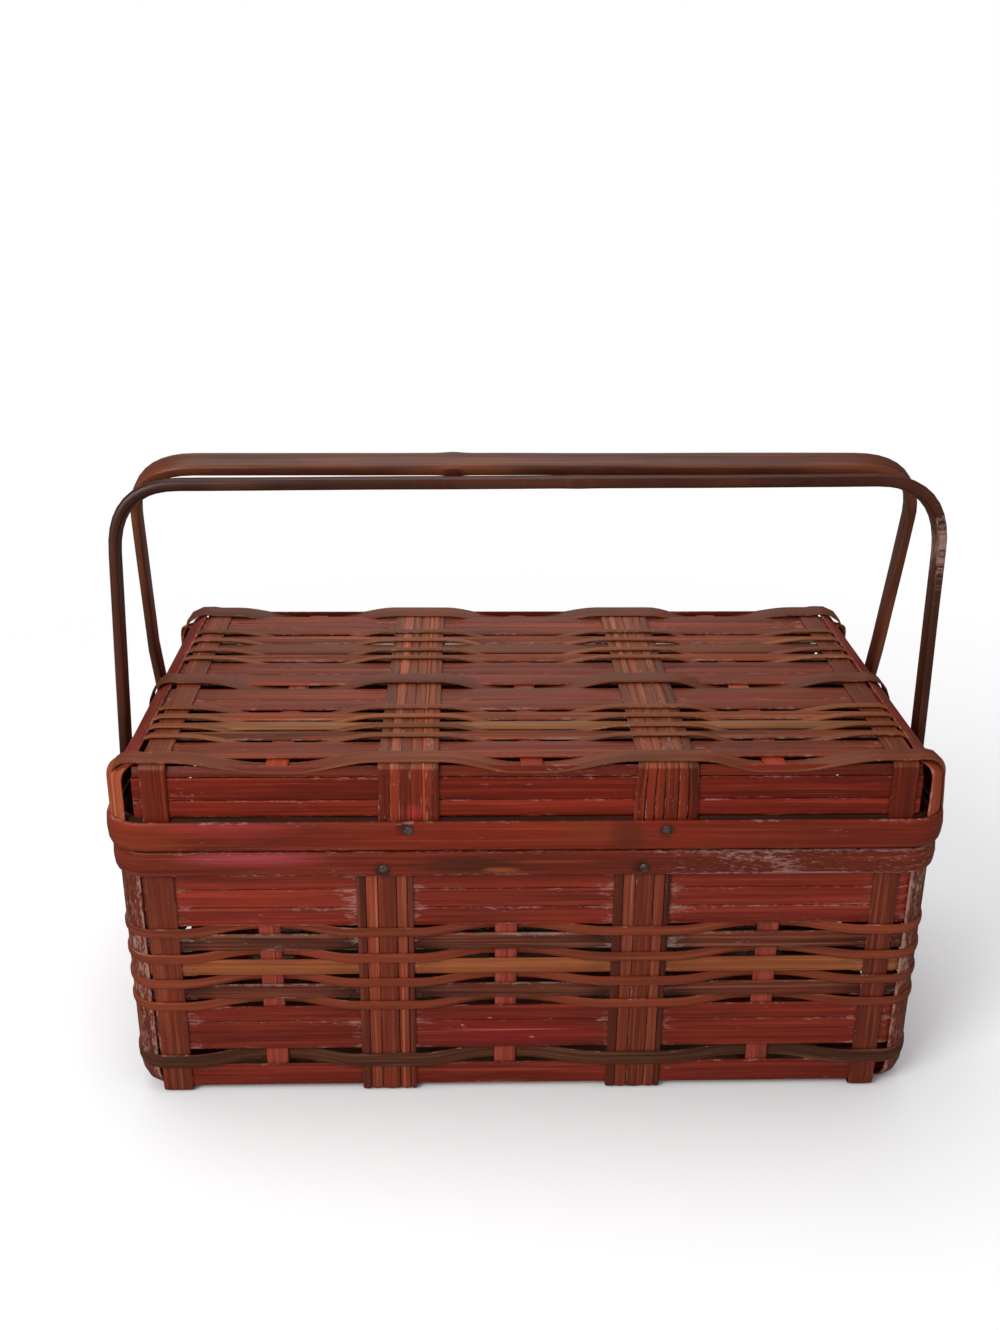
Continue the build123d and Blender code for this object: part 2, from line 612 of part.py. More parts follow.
def lid_edges():
    """Strips along the lid's edges: front and back, the two sides, and the four corners."""
    front = Box(
        2 * (LID_HALF_X - LID_CORNER_R - 1), EDGE_STRIP_T, EDGE_STRIP_H,
        align=(Align.CENTER, Align.CENTER, Align.MIN),
    )
    front_z = LID_SKIRT_TOP_Z + CORE_GAP
    side = Box(SIDE_EDGE_W, 2 * (LID_HALF_Y - SIDE_EDGE_SHORT), SIDE_EDGE_T)
    side_x = LID_HALF_X - SIDE_EDGE_IN
    drop = SIDE_EDGE_W / 2 * math.sin(math.radians(SIDE_EDGE_TILT))
    side_z = LID_TOP_Z + SPLINT_T / 2 - drop + SIDE_EDGE_T / 2
    return {
        "lid_front_edge_strip": [Pos(0, -LID_HALF_Y, front_z) * front],
        "lid_back_edge_strip": [Pos(0, LID_HALF_Y, front_z) * front],
        "lid_side_edge_strips": [
            Pos(hand * side_x, 0, side_z) * Rot(0, hand * SIDE_EDGE_TILT, 0) * side for hand in (-1, 1)
        ],
        "lid_corner_strips": [corner_strip(hand, end) for hand in (-1, 1) for end in (-1, 1)],
    }


def corner_strip(side_x, side_y):
    """A short strip bent over the lid's corner, down to the top of the rim band."""
    out = LID_CORNER_R + SPLINT_T / 2 + 3 * PLY_GAP + CORNER_STRIP_T / 2
    top_z = LID_SKIRT_TOP_Z + CORNER_STRIP_RISE
    path = FilletPolyline(
        [(out - CORNER_STRIP_BEND_R - 2, top_z), (out, top_z), (out, LID_BAND_TOP_Z + CORE_GAP)],
        radius=CORNER_STRIP_BEND_R,
    )
    section = trace(path, CORNER_STRIP_T)
    strip = extrude(Plane.XZ * section, CORNER_STRIP_W / 2, both=True)
    angle = math.degrees(math.atan2(side_y, side_x))
    centre = Pos(side_x * (LID_HALF_X - LID_CORNER_R), side_y * (LID_HALF_Y - LID_CORNER_R))
    return centre * Rot(0, 0, angle) * strip


def lid_rim():
    """Skirt and rim of the lid, with the holes for the hinge rings."""
    size = (LID_HALF_X, LID_HALF_Y, LID_CORNER_R)
    holes = hinge_holes()
    skirt_z = LID_BAND_TOP_Z + LID_SKIRT_LIFT
    skirt = band_ring(*size, 0, SPLINT_T, skirt_z, LID_SKIRT_TOP_Z)
    core = band_ring(*size, 0, SPLINT_T, LID_BOTTOM_Z, LID_BAND_TOP_Z + CORE_GAP) - holes
    inner = band_ring(*size, INNER_BAND, INNER_BAND_T, LID_BOTTOM_Z, LID_BAND_TOP_Z) - holes
    outer = band_ring(*size, OUTER_BAND, OUTER_BAND_T, LID_BOTTOM_Z, LID_BAND_TOP_Z) - holes
    places = nail_places(LID_HALF_X, LID_HALF_Y, LID_BUNDLES_X, LID_NAIL_Z)
    for place, direction in places:
        outer = outer - nail_hole(place, direction)
    return {
        "lid_skirt_hoop": [skirt],
        "lid_rim_core": [core],
        "lid_inner_band": [inner],
        "lid_outer_band": [outer],
        "lid_nails": [nail(place, direction) for place, direction in places],
    }


def handle_fittings():
    """Pins, spacer washers under the legs and cap washers over them."""
    spacer_x = BODY_BAND_OUT_X + PIN_SEAT_CLEARANCE
    pins = []
    spacers = []
    caps = []
    for side, leg_x, y in pivot_places():
        inner_face = leg_x - LEG_T / 2
        outer_face = leg_x + LEG_T / 2
        pins.append(pivot_pin(side, leg_x, y))
        spacers.append(washer(side, y, spacer_x, inner_face - WASHER_GAP - spacer_x))
        caps.append(washer(side, y, outer_face + WASHER_GAP, WASHER_T))
    return {"pivot_pins": pins, "spacer_washers": spacers, "cap_washers": caps}


def all_nodes():
    nodes = {}
    nodes.update(body_stakes())
    nodes.update(side_stakes())
    nodes["corner_posts"] = [corner_post(x, y) for x in (-1, 1) for y in (-1, 1)]
    nodes["base_splints"] = base_splints()
    nodes["side_bottom_splints"] = side_bottom_splints()
    nodes["bottom_splints"] = bottom_splints()
    nodes.update(body_hoops())
    nodes["brown_weaver"] = [body_weaver(BROWN_WEAVER_Z, BROWN_WEAVER_H)]
    nodes["thin_weavers"] = [body_weaver(z, THIN_WEAVER_H) for z in THIN_WEAVERS_Z]
    nodes.update(body_rim())
    nodes.update(lid_stakes())
    nodes.update(lid_splints())
    nodes.update(lid_weavers())
    nodes.update(lid_edges())
    nodes.update(lid_rim())
    nodes["hinge_rings"] = [wire_ring(x, HINGE_WIRE_R) for x in HINGE_X]
    nodes.update(handle_fittings())
    nodes["front_handle"] = [
        handle(
            FRONT_PIVOT_Y, FRONT_BAR * BODY_HALF_Y, FRONT_BAR_RISE,
            FRONT_LEG_X, FRONT_LEG_STRAIGHT, FRONT_LEFT_SPREAD, FRONT_RIGHT_SPREAD,
        )
    ]
    nodes["back_handle"] = [
        handle(
            BACK_PIVOT_Y, BACK_BAR * BODY_HALF_Y, BACK_BAR_RISE,
            BACK_LEG_X, BACK_LEG_STRAIGHT, BACK_LEFT_SPREAD, BACK_RIGHT_SPREAD,
        )
    ]
    return nodes


os.makedirs("parts", exist_ok=True)
for node_name, pieces in all_nodes().items():
    shape = pieces[0] if len(pieces) == 1 else Compound(children=pieces)
    export_step(shape, f"parts/{node_name}.step")
    print(node_name, len(pieces))
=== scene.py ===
# %% [markdown]
# # A woven bamboo picnic basket
# The basket is made of thin bamboo strips: stakes that run from front to back, splints and weavers
# that run across them, bent bands round the rims and two bent handles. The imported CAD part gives
# the frame: where every piece is and how it moves. This lesson dresses that frame, strip by strip.

import math

import bpy
import numpy as np
from mathutils import Matrix, Vector


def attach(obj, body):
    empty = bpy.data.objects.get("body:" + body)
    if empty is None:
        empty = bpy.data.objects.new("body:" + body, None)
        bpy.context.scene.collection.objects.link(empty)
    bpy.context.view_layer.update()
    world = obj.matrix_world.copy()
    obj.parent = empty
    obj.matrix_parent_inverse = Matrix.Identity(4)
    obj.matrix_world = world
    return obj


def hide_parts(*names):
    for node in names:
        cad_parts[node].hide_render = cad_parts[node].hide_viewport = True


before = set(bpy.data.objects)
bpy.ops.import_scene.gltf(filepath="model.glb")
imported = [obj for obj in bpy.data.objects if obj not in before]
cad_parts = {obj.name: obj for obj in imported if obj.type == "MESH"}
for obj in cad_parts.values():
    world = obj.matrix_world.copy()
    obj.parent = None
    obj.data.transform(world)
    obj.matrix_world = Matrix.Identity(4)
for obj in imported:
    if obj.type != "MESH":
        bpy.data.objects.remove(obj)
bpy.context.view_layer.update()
MM = 0.001

# %% [markdown]
# ## The sizes of the weave
# The walls, the layers of the weave and the places of the stakes are written here once, in
# millimetres. The heights of the rows stand with the rows below. The wall plane is the plane of the
# wide splints; stakes lie just outside or just inside it, and weavers pass over or behind the
# stakes. A HALF_T is half a strip's thickness, and an OUT or IN is a distance from the wall plane.

# %% Sizes
BODY = {"half_x": 184.0, "half_y": 95.0, "corner": 14.0}
LID = {"half_x": 185.5, "half_y": 96.5, "corner": 15.0}
STAKE_OUT = 1.25
STAKE_IN = -1.25
WEAVE_OUT = 2.45
WEAVE_IN = -2.6
LID_TOP = 173.6
LID_RISE = 2.5
SPLINT_HALF_T = 0.55
WEAVER_HALF_T = 0.45
BAND_HALF_T, BAND_OUT = 1.05, 3.0
INNER_BAND_HALF_T, INNER_BAND_OUT = 0.95, -2.9
BODY_STAKE_END = 131.5
LID_STAKE_END = 134.0
HOOP_ENDS = 0.28
STAKE_MARGIN = 1.5
BODY_STAKES = {"corner": [-166.4, 163.6], "bundle": [-65.0, 52.0], "narrow": [-118.5, -9.7, 112.0]}
LID_STAKES = {"corner": [-164.5, 164.5], "bundle": [-53.5, 61.0], "narrow": [-111.0, 1.0, 108.5]}
CORNER_HALF = 6.0
BUNDLE_HALF = 13.0
NARROW_HALF = 5.0
print("rows and stakes defined for a body of", 2 * BODY["half_x"], "by", 2 * BODY["half_y"], "mm")

# %% [markdown]
# ## One Geometry Nodes tree for every strip
# Each real strip is a flat ribbon with a slightly domed skin, a bit wider here and narrower there.
# One could model each ribbon by hand, but they all follow a path, so one Geometry Nodes tree makes
# them all. The path comes in as a line of edges whose points know which way the skin faces. The
# tree sweeps a rounded profile along it, then places every point from those stored directions, and
# adds slow noise to the width and to the height so that no two strips are alike.

# %% Helpers for node trees and objects
def node(tree, kind, **settings):
    made = tree.nodes.new(kind)
    for key, value in settings.items():
        setattr(made, key, value)
    return made


def tree_of(*values):
    """The node tree that the first socket among the values belongs to."""
    return next(value.id_data for value in values if hasattr(value, "id_data"))


def wire(source, target):
    target.id_data.links.new(source, target)


def feed(value, socket):
    """Gives a socket a number, a colour or another socket's value."""
    if isinstance(value, tuple):
        socket.default_value = (*value, 1.0)
    elif isinstance(value, (int, float)):
        socket.default_value = value
    elif value is not None:
        wire(value, socket)


def maths(operation, a, b=None, clamp=False):
    made = node(tree_of(a, b), "ShaderNodeMath", operation=operation, use_clamp=clamp)
    feed(a, made.inputs[0])
    feed(b, made.inputs[1])
    return made.outputs[0]


def times(a, b):
    return maths("MULTIPLY", a, b)


def plus(a, b, clamp=False):
    return maths("ADD", a, b, clamp)


def minus(a, b):
    return maths("SUBTRACT", a, b)


def joined(x, y, z):
    made = node(tree_of(x, y, z), "ShaderNodeCombineXYZ")
    for socket, value in zip(made.inputs, (x, y, z)):
        wire(value, socket)
    return made.outputs[0]


def parted(vector):
    made = node(tree_of(vector), "ShaderNodeSeparateXYZ")
    wire(vector, made.inputs[0])
    return made.outputs


def put(made, **values):
    """Sets sockets to constants; an underscore in a name stands for a space."""
    for key, value in values.items():
        made.inputs[key.replace("_", " ")].default_value = value


def noise_at(spot, detail=3.0, rough=0.55, scale=1.0):
    noise = node(tree_of(spot), "ShaderNodeTexNoise", noise_dimensions="3D")
    put(noise, Scale=scale, Detail=detail, Roughness=rough)
    wire(spot, noise.inputs["Vector"])
    return noise.outputs[0]


def vector_plus(a, b):
    made = node(tree_of(a), "ShaderNodeVectorMath", operation="ADD")
    wire(a, made.inputs[0])
    wire(b, made.inputs[1])
    return made.outputs[0]


def scaled(vector, factor):
    made = node(tree_of(vector), "ShaderNodeVectorMath", operation="SCALE")
    wire(vector, made.inputs[0])
    wire(factor, made.inputs["Scale"])
    return made.outputs[0]


def named(tree, name, kind):
    made = node(tree, "GeometryNodeInputNamedAttribute", data_type=kind)
    put(made, Name=name)
    return made.outputs[0]


def store(geometry, name, kind, value):
    made = node(tree_of(geometry), "GeometryNodeStoreNamedAttribute", data_type=kind, domain="POINT")
    put(made, Name=name)
    wire(geometry, made.inputs["Geometry"])
    wire(value, made.inputs["Value"])
    return made.outputs["Geometry"]


def new_object(name, data):
    made = bpy.data.objects.new(name, data)
    bpy.context.scene.collection.objects.link(made)
    return made


print("node helpers ready")

# %% The strip tree
def build_strip_tree():
    tree = bpy.data.node_groups.new("Bamboo strip", "GeometryNodeTree")
    for name, kind, default in (
            ("Geometry", "Geometry", None), ("Points round", "Int", 16), ("Edge roundness", "Float", 0.3),
            ("Crown", "Float", 0.4), ("Width change", "Float", 0.03), ("Waviness", "Float", 0.0002),
            ("Wave length", "Float", 0.06), ("Seed", "Float", 1.0), ("Finish", "Material", None)):
        socket = tree.interface.new_socket(name=name, in_out="INPUT", socket_type="NodeSocket" + kind)
        if default is not None:
            socket.default_value = default
    tree.interface.new_socket(name="Geometry", in_out="OUTPUT", socket_type="NodeSocketGeometry")
    given = node(tree, "NodeGroupInput").outputs

    circle = node(tree, "GeometryNodeCurvePrimitiveCircle", mode="RADIUS")
    put(circle, Radius=1.0)
    wire(given["Points round"], circle.inputs["Resolution"])
    place = parted(node(tree, "GeometryNodeInputPosition").outputs[0])
    profile = circle.outputs[0]
    for name, axis in (("across", "X"), ("through", "Y")):
        size = maths("POWER", maths("ABSOLUTE", place[axis]), given["Edge roundness"])
        signed = times(size, maths("SIGN", place[axis]))
        profile = store(profile, name, "FLOAT", signed)

    line = node(tree, "GeometryNodeMeshToCurve")
    wire(given["Geometry"], line.inputs["Mesh"])
    sweep = node(tree, "GeometryNodeCurveToMesh")
    wire(line.outputs[0], sweep.inputs["Curve"])
    wire(profile, sweep.inputs["Profile Curve"])
    put(sweep, Fill_Caps=True)

    across, through, along, chance, half_w, half_t = [
        named(tree, name, "FLOAT") for name in ("across", "through", "along", "chance", "half_w", "half_t")]

    def slow_noise(length, shift):
        seeded = plus(times(chance, 57.0), given["Seed"])
        spot = joined(maths("DIVIDE", along, length), times(across, shift), seeded)
        return minus(noise_at(spot, 2.0, 0.5), 0.5)

    width = times(slow_noise(given["Wave length"], 1.3), given["Width change"])
    width = plus(times(width, 2.0), 1.0)
    sideways = times(times(across, half_w), width)
    dome = minus(1.0, times(across, across))
    dome = times(times(dome, given["Crown"]), maths("MAXIMUM", through, 0.0))
    lift = times(plus(through, dome), half_t)
    wave = times(slow_noise(given["Wave length"], 0.35), given["Waviness"])
    lift = plus(lift, times(wave, 2.0))
    middle, beside, outwards = [named(tree, name, "FLOAT_VECTOR") for name in ("middle", "sideways", "outwards")]
    spot = vector_plus(middle, scaled(beside, sideways))
    spot = vector_plus(spot, scaled(outwards, lift))
    geometry = store(sweep.outputs[0], "fibre", "FLOAT_VECTOR", joined(along, sideways, chance))
    for kind, more in (("SetPosition", {"Position": spot}), ("SetShadeSmooth", {}), ("RealizeInstances", {}),
                       ("SetMaterial", {"Material": given["Finish"]})):
        stage = node(tree, "GeometryNode" + kind)
        wire(geometry, stage.inputs["Geometry"])
        for key, value in more.items():
            wire(value, stage.inputs[key])
        geometry = stage.outputs[0]
    wire(geometry, node(tree, "NodeGroupOutput").inputs[0])
    return tree


strip_tree = build_strip_tree()
print("strip tree has", len(strip_tree.nodes), "nodes")

# %% [markdown]
# ## From paths to meshes
# A path is a list of points with the way the skin faces at each, plus the strip's half width and
# half thickness, and how worn or shaded it is there. All strips of one kind go into one mesh, one
# for each moving body, and the tree is applied so that the result is a plain mesh.

# %% Strips, and the function that weaves them into one piece
luck = np.random.default_rng(7)


def strip(points, outs, half_w, half_t, rub=0.0, shade=0.0, chance=None, tint=(1, 1, 1)):
    """One strip: a path in millimetres with the skin's direction at each point."""
    made = {"points": np.array(points, float), "outs": np.array(outs, float),
            "tint": np.broadcast_to(np.array(tint, float), (len(points), 3)),
            "chance": luck.random() if chance is None else chance}
    for key, value in (("half_w", half_w), ("half_t", half_t), ("rub", rub), ("shade", shade)):
        made[key] = np.broadcast_to(np.array(value, float), len(points))
    return made


def tangents(points):
    step = np.gradient(points, axis=0)
    return step / np.linalg.norm(step, axis=1, keepdims=True)


def distance_along(points):
    return np.concatenate([[0.0], np.cumsum(np.linalg.norm(np.diff(points, axis=0), axis=1))])


def weave(name, strips, finish, body, replaces=(), slot=None, **settings):
    """Sweeps the strips with the tree and leaves one plain mesh that rides on its body."""
    points, edges, columns = [], [], {}
    for s in strips:
        first, count = len(points), len(s["points"])
        path = s["points"] * MM
        way = tangents(path)
        out = s["outs"] - way * np.sum(s["outs"] * way, axis=1, keepdims=True)
        out = out / np.linalg.norm(out, axis=1, keepdims=True)
        points.extend(path)
        edges += [(first + i, first + i + 1) for i in range(count - 1)]
        for key, rows in (("middle", path), ("outwards", out), ("sideways", np.cross(out, way)), ("tint", s["tint"]),
                          ("half_w", s["half_w"] * MM), ("half_t", s["half_t"] * MM), ("along", distance_along(path)),
                          ("chance", np.full(count, s["chance"])), ("rub", s["rub"]), ("shade", s["shade"])):
            columns.setdefault(key, []).append(rows)
    mesh = bpy.data.meshes.new(name + "_path")
    mesh.from_pydata([tuple(p) for p in points], edges, [])
    for key, rows in columns.items():
        values = np.concatenate(rows)
        kind, field = ("FLOAT_VECTOR", "vector") if values.ndim > 1 else ("FLOAT", "value")
        mesh.attributes.new(key, kind, "POINT").data.foreach_set(field, values.ravel())
    holder = new_object(name + "_path", mesh)
    modifier = holder.modifiers.new("strips", "NODES")
    modifier.node_group = strip_tree
    sockets = {i.name: i.identifier for i in strip_tree.interface.items_tree if i.in_out == "INPUT"}
    for key, value in settings.items():
        modifier[sockets[key.replace("_", " ").capitalize()]] = value
    modifier[sockets["Finish"]] = finish
    evaluated = holder.evaluated_get(bpy.context.evaluated_depsgraph_get())
    made = bpy.data.meshes.new_from_object(evaluated)
    for key in ("middle", "outwards", "sideways", "half_w", "half_t", "along", "chance", "through"):
        if key in made.attributes:
            made.attributes.remove(made.attributes[key])
    made.name = name
    bpy.data.objects.remove(holder)
    piece = new_object(name, made)
    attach(piece, body)
    if replaces:
        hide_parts(*replaces)
    print(f"{name}: {len(strips)} strips, {len(made.polygons)} faces")
    return piece

# %% [markdown]
# ## Dyed bamboo
# Bamboo is a bundle of long fibres under a hard, smooth skin. Old dyed strips show it in layers:
# dye that soaked in unevenly, thin dark and light fibre lines along the strip, pale edges that are
# partly rubbed where the skin is gone and partly a painted highlight where they catch the light, and
# dust in the corners. The materials read the strip's own coordinates, which the tree stored as
# `fibre`, so the lines follow each strip round its bends. One function makes the finish of every
# strip, and each finish then gets its own colours.

# %% Helpers for shader trees
def shader_start(name):
    material = bpy.data.materials.new(name)
    material.use_nodes = True
    return material, material.node_tree, material.node_tree.nodes["Principled BSDF"]


def band(value, low, high, reverse=False):
    """0 below low and 1 above high, or the other way round."""
    made = node(tree_of(value), "ShaderNodeMapRange", clamp=True)
    wire(value, made.inputs["Value"])
    put(made, From_Min=low, From_Max=high, To_Min=1.0 if reverse else 0.0, To_Max=0.0 if reverse else 1.0)
    return made.outputs[0]


def mix_colour(amount, first, second, mode="MIX"):
    made = node(tree_of(amount, first), "ShaderNodeMix", data_type="RGBA", blend_type=mode)
    for index, value in ((0, amount), (6, first), (7, second)):
        feed(value, made.inputs[index])
    return made.outputs[2]


def mix_shader(amount, first, second):
    made = node(tree_of(amount), "ShaderNodeMixShader")
    for socket, source in zip(made.inputs, (amount, first, second)):
        wire(source, socket)
    return made.outputs[0]


def emission(tree, level):
    made = node(tree, "ShaderNodeEmission")
    put(made, Color=(level, level, level, 1.0))
    return made.outputs[0]


def attribute(tree, name, output="Fac"):
    return node(tree, "ShaderNodeAttribute", attribute_name=name).outputs[output]


def own_place(tree):
    """The piece's own coordinates, in metres."""
    return node(tree, "ShaderNodeTexCoord").outputs["Object"]


def bumped(skin, height, distance):
    bump = node(tree_of(height), "ShaderNodeBump")
    put(bump, Strength=0.5, Distance=distance)
    wire(height, bump.inputs["Height"])
    wire(bump.outputs[0], skin.inputs["Normal"])


def grey_colour(value):
    made = node(tree_of(value), "ShaderNodeCombineColor")
    for socket in made.inputs[:3]:
        wire(value, socket)
    return made.outputs[0]


print("shader helpers ready")

# %% A function that makes a bamboo finish
def bamboo(name, base, deep, light, scuff=(0.36, 0.21, 0.17), wear_and_edge_highlight=0.5, gloss=0.45, grain=1.0,
           crack=0.35, lines=0.6, scratch=0.5, shine=0.16, coat=0.0, spots=()):
    """Base is the dye, deep and light are its dark and pale fibres, and scuff is the bared surface, whose colour also
    paints the highlight along the edges.
    """
    material, tree, skin = shader_start(name)
    along, sideways, chance = parted(attribute(tree, "fibre", "Vector"))
    shifted = plus(sideways, times(chance, 3.7))

    def streaks(length, width, detail=3.0, seed=0.0, rough=0.55):
        depth = plus(times(chance, 41.0), seed)
        spot = joined(times(along, length), times(shifted, width), depth)
        return noise_at(spot, detail, rough)

    wide = streaks(9.0, 55.0, 4.0, 3.0, 0.6)
    medium = streaks(7.0, 520.0 * grain, 4.0, 11.0, 0.6)
    fine = streaks(22.0, 1400.0 * grain, 3.0, 23.0, 0.6)
    colour = mix_colour(band(wide, 0.36, 0.62), deep, base)
    for pattern, low, high, below, share, dye in (
            (medium, 0.52, 0.72, False, lines, light), (medium, 0.32, 0.47, True, lines, deep),
            (fine, 0.5, 0.75, False, 0.5 * lines, light), (fine, 0.28, 0.46, True, 0.6 * lines, deep)):
        colour = mix_colour(times(band(pattern, low, high, below), share), colour, dye)
    cracks = band(streaks(4.0, 1300.0 * grain, 1.0, 37.0, 0.4), 0.22, 0.29, True)
    cracks = times(cracks, crack)
    colour = mix_colour(cracks, colour, tuple(0.25 * c for c in deep))

    place = parted(own_place(tree))
    ragged = times(minus(streaks(18.0, 620.0, 5.0, 71.0, 0.72), 0.5), 2.6)
    uneven = plus(0.55, times(band(medium, 0.4, 0.6), 0.45))
    # Each spot is a ragged patch on the front: a stain, a chip or a nail ring, and on the rim bands also a painted
    # highlight.
    for x, z, wide_x, wide_z, mark_colour, strength in spots:
        dx = maths("DIVIDE", minus(place[0], x * MM), wide_x * MM)
        dz = maths("DIVIDE", minus(place[2], z * MM), wide_z * MM)
        far = plus(times(dx, dx), times(dz, dz))
        inside = band(plus(far, ragged), 0.1, 1.2, True)
        inside = times(inside, band(place[1], -0.09, -0.08, True))
        inside = times(inside, uneven)
        colour = mix_colour(times(inside, strength), colour, mark_colour)

    colour = mix_colour(1.0, colour, attribute(tree, "tint", "Color"), "MULTIPLY")
    own = plus(0.84, times(chance, 0.32))
    dim = times(own, minus(1.0, times(attribute(tree, "shade"), 0.8)))
    colour = mix_colour(1.0, colour, grey_colour(dim), "MULTIPLY")

    across = maths("ABSOLUTE", attribute(tree, "across"))
    rub = attribute(tree, "rub")
    scrape = streaks(240.0, 950.0, 6.0, 53.0, 0.80)
    cloud = streaks(30.0, 150.0, 4.0, 61.0, 0.65)
    # Pale edges: partly rubbed wear and partly a painted highlight where the rounded edges catch the light.
    worn = plus(times(band(across, 0.70, 0.97), 0.15 * wear_and_edge_highlight), times(rub, 0.17))
    worn = plus(worn, times(band(cloud, 0.48, 0.68), 0.15 * wear_and_edge_highlight))
    worn = band(plus(worn, scrape), 0.70, 0.80)
    colour = mix_colour(times(worn, 0.6), colour, scuff)
    nicks = band(streaks(16.0, 1500.0, 2.0, 83.0, 0.5), 0.70, 0.78)
    bare = tuple(0.5 * (a + b) for a, b in zip(light, scuff))
    colour = mix_colour(times(nicks, scratch), colour, bare)
    wire(colour, skin.inputs["Base Color"])

    rough = plus(times(worn, 0.3), gloss)
    rough = plus(rough, times(minus(medium, 0.5), 0.3), True)
    wire(rough, skin.inputs["Roughness"])
    put(skin, Specular_IOR_Level=shine)
    if coat:
        put(skin, Coat_Weight=coat, Coat_Roughness=0.22)
    height = plus(times(medium, 0.6), times(fine, 0.4))
    height = minus(height, times(cracks, 0.8))
    height = minus(height, times(worn, 0.12))
    bumped(skin, height, 0.0005)
    return material


# %% The finishes of the strips
# A spot is a mark on the front: x, z, half width and half height in millimetres, colour, strength.
CHIP, NAIL_RING = (0.4, 0.2, 0.16), (0.025, 0.010, 0.008)
RED_SPOTS = [(-8, 33, 42, 9, (0.19, 0.006, 0.008), 0.7), (-6, 34.2, 30, 0.55, (0.42, 0.10, 0.04), 0.9)]
RED_SPOTS += [(x, z, wide, high, CHIP, 0.9) for x, z, wide, high in (
    (-17, 41, 1.3, 0.6), (3, 30, 1.5, 0.5), (12, 40, 1.0, 0.5), (-30, 37, 1.0, 0.5))]
# Two of these marks are painted highlights: the pale pink streaks at x -132 on the lid's band and at x -122 on the
# body's band.
BAND_MARKS_AND_HIGHLIGHTS = [
    (-172, 141, 24, 9, (0.17, 0.030, 0.007), 0.8), (-132, 144, 30, 4.5, (0.30, 0.032, 0.042), 0.5),
    (27, 143, 14, 6.5, (0.13, 0.030, 0.008), 0.7), (44, 141, 9, 9, (0.050, 0.016, 0.007), 0.7),
    (-122, 129.3, 36, 3.6, (0.42, 0.055, 0.090), 0.5), (-28, 126, 26, 5.0, (0.030, 0.012, 0.006), 0.8),
    (-12, 123.5, 9, 1.6, (0.30, 0.085, 0.022), 0.7), (110, 126, 75, 9, (0.060, 0.011, 0.004), 0.7)]
BAND_MARKS_AND_HIGHLIGHTS += [(x, z, size, size, NAIL_RING, strength) for x, z, size, strength in (
    (-65.7, 123.6, 4.2, 1.0), (50.4, 124.4, 4.2, 1.0), (-55.4, 145.6, 3.9, 0.9), (61.0, 143.5, 4.2, 0.9))]
red = bamboo("Red dyed splint", (0.160, 0.0135, 0.005), (0.092, 0.009, 0.004), (0.255, 0.032, 0.012), wear_and_edge_highlight=1.0,
             scuff=(0.34, 0.15, 0.12), lines=0.85, crack=0.5, spots=RED_SPOTS)
grey = bamboo("Grey weathered splint", (0.100, 0.020, 0.009), (0.036, 0.012, 0.008), (0.19, 0.060, 0.032),
              scuff=(0.26, 0.18, 0.15), wear_and_edge_highlight=1.2, gloss=0.55, lines=0.9, shine=0.06)
tan = bamboo("Tan splint", (0.285, 0.074, 0.021), (0.18, 0.040, 0.012), (0.38, 0.130, 0.038), wear_and_edge_highlight=0.4, lines=0.8)
weaver = bamboo("Red-brown weaver", (0.190, 0.031, 0.010), (0.110, 0.019, 0.007), (0.29, 0.066, 0.02), wear_and_edge_highlight=0.8)
brown = bamboo("Brown weaver", (0.074, 0.022, 0.010), (0.042, 0.014, 0.007), (0.16, 0.068, 0.034), wear_and_edge_highlight=0.8, shine=0.08)
stake = bamboo("Brown stake", (0.130, 0.018, 0.006), (0.078, 0.012, 0.005), (0.23, 0.046, 0.016), wear_and_edge_highlight=0.8, lines=0.9,
               spots=[(-52, 152, 6, 4.5, (0.36, 0.04, 0.07), 0.6), (-55, 153, 0.7, 6, (0.02, 0.006, 0.004), 1.0)])
orange = bamboo("Orange stake", (0.200, 0.034, 0.013), (0.130, 0.020, 0.008), (0.31, 0.078, 0.034), wear_and_edge_highlight=0.4,
                crack=0.6, lines=1.0)
dark = bamboo("Dark stake", (0.100, 0.016, 0.007), (0.055, 0.011, 0.006), (0.17, 0.036, 0.015), wear_and_edge_highlight=0.6)
inner = bamboo("Red inner stake", (0.24, 0.034, 0.018), (0.14, 0.020, 0.011), (0.34, 0.068, 0.040), wear_and_edge_highlight=0.3,
               crack=1.0, grain=0.8, lines=0.9)
plain = bamboo("Undyed bamboo", (0.26, 0.14, 0.06), (0.17, 0.085, 0.035), (0.38, 0.24, 0.12), wear_and_edge_highlight=0.3)
rim = bamboo("Rim bamboo", (0.150, 0.015, 0.005), (0.090, 0.011, 0.004), (0.23, 0.038, 0.012), wear_and_edge_highlight=0.9, gloss=0.36,
             scuff=(0.33, 0.17, 0.14), crack=0.15, lines=0.8, scratch=0.4, shine=0.2, spots=BAND_MARKS_AND_HIGHLIGHTS)
pole = bamboo("Handle bamboo", (0.082, 0.020, 0.008), (0.032, 0.009, 0.005), (0.17, 0.050, 0.018), wear_and_edge_highlight=0.35,
              gloss=0.36, crack=0.1, lines=0.6, scratch=0.3, shine=0.2, coat=0.06)
print("finishes:", ", ".join(m.name for m in (
    red, grey, tan, weaver, brown, stake, orange, dark, inner, plain, rim, pole)))

# %% Finishes of the parts that come straight from the CAD
def hidden_bamboo(name, base, deep):
    """Bamboo whose fibres run level round the walls, read from the piece's own coordinates."""
    material, tree, skin = shader_start(name)
    x, y, z = parted(own_place(tree))
    long_way = plus(x, y)
    spot = joined(times(long_way, 12.0), times(z, 700.0), times(y, 3.0))
    fibres = noise_at(spot, 4.0)
    wire(mix_colour(band(fibres, 0.35, 0.65), deep, base), skin.inputs["Base Color"])
    put(skin, Roughness=0.7, Specular_IOR_Level=0.1)
    bumped(skin, fibres, 0.0004)
    return material


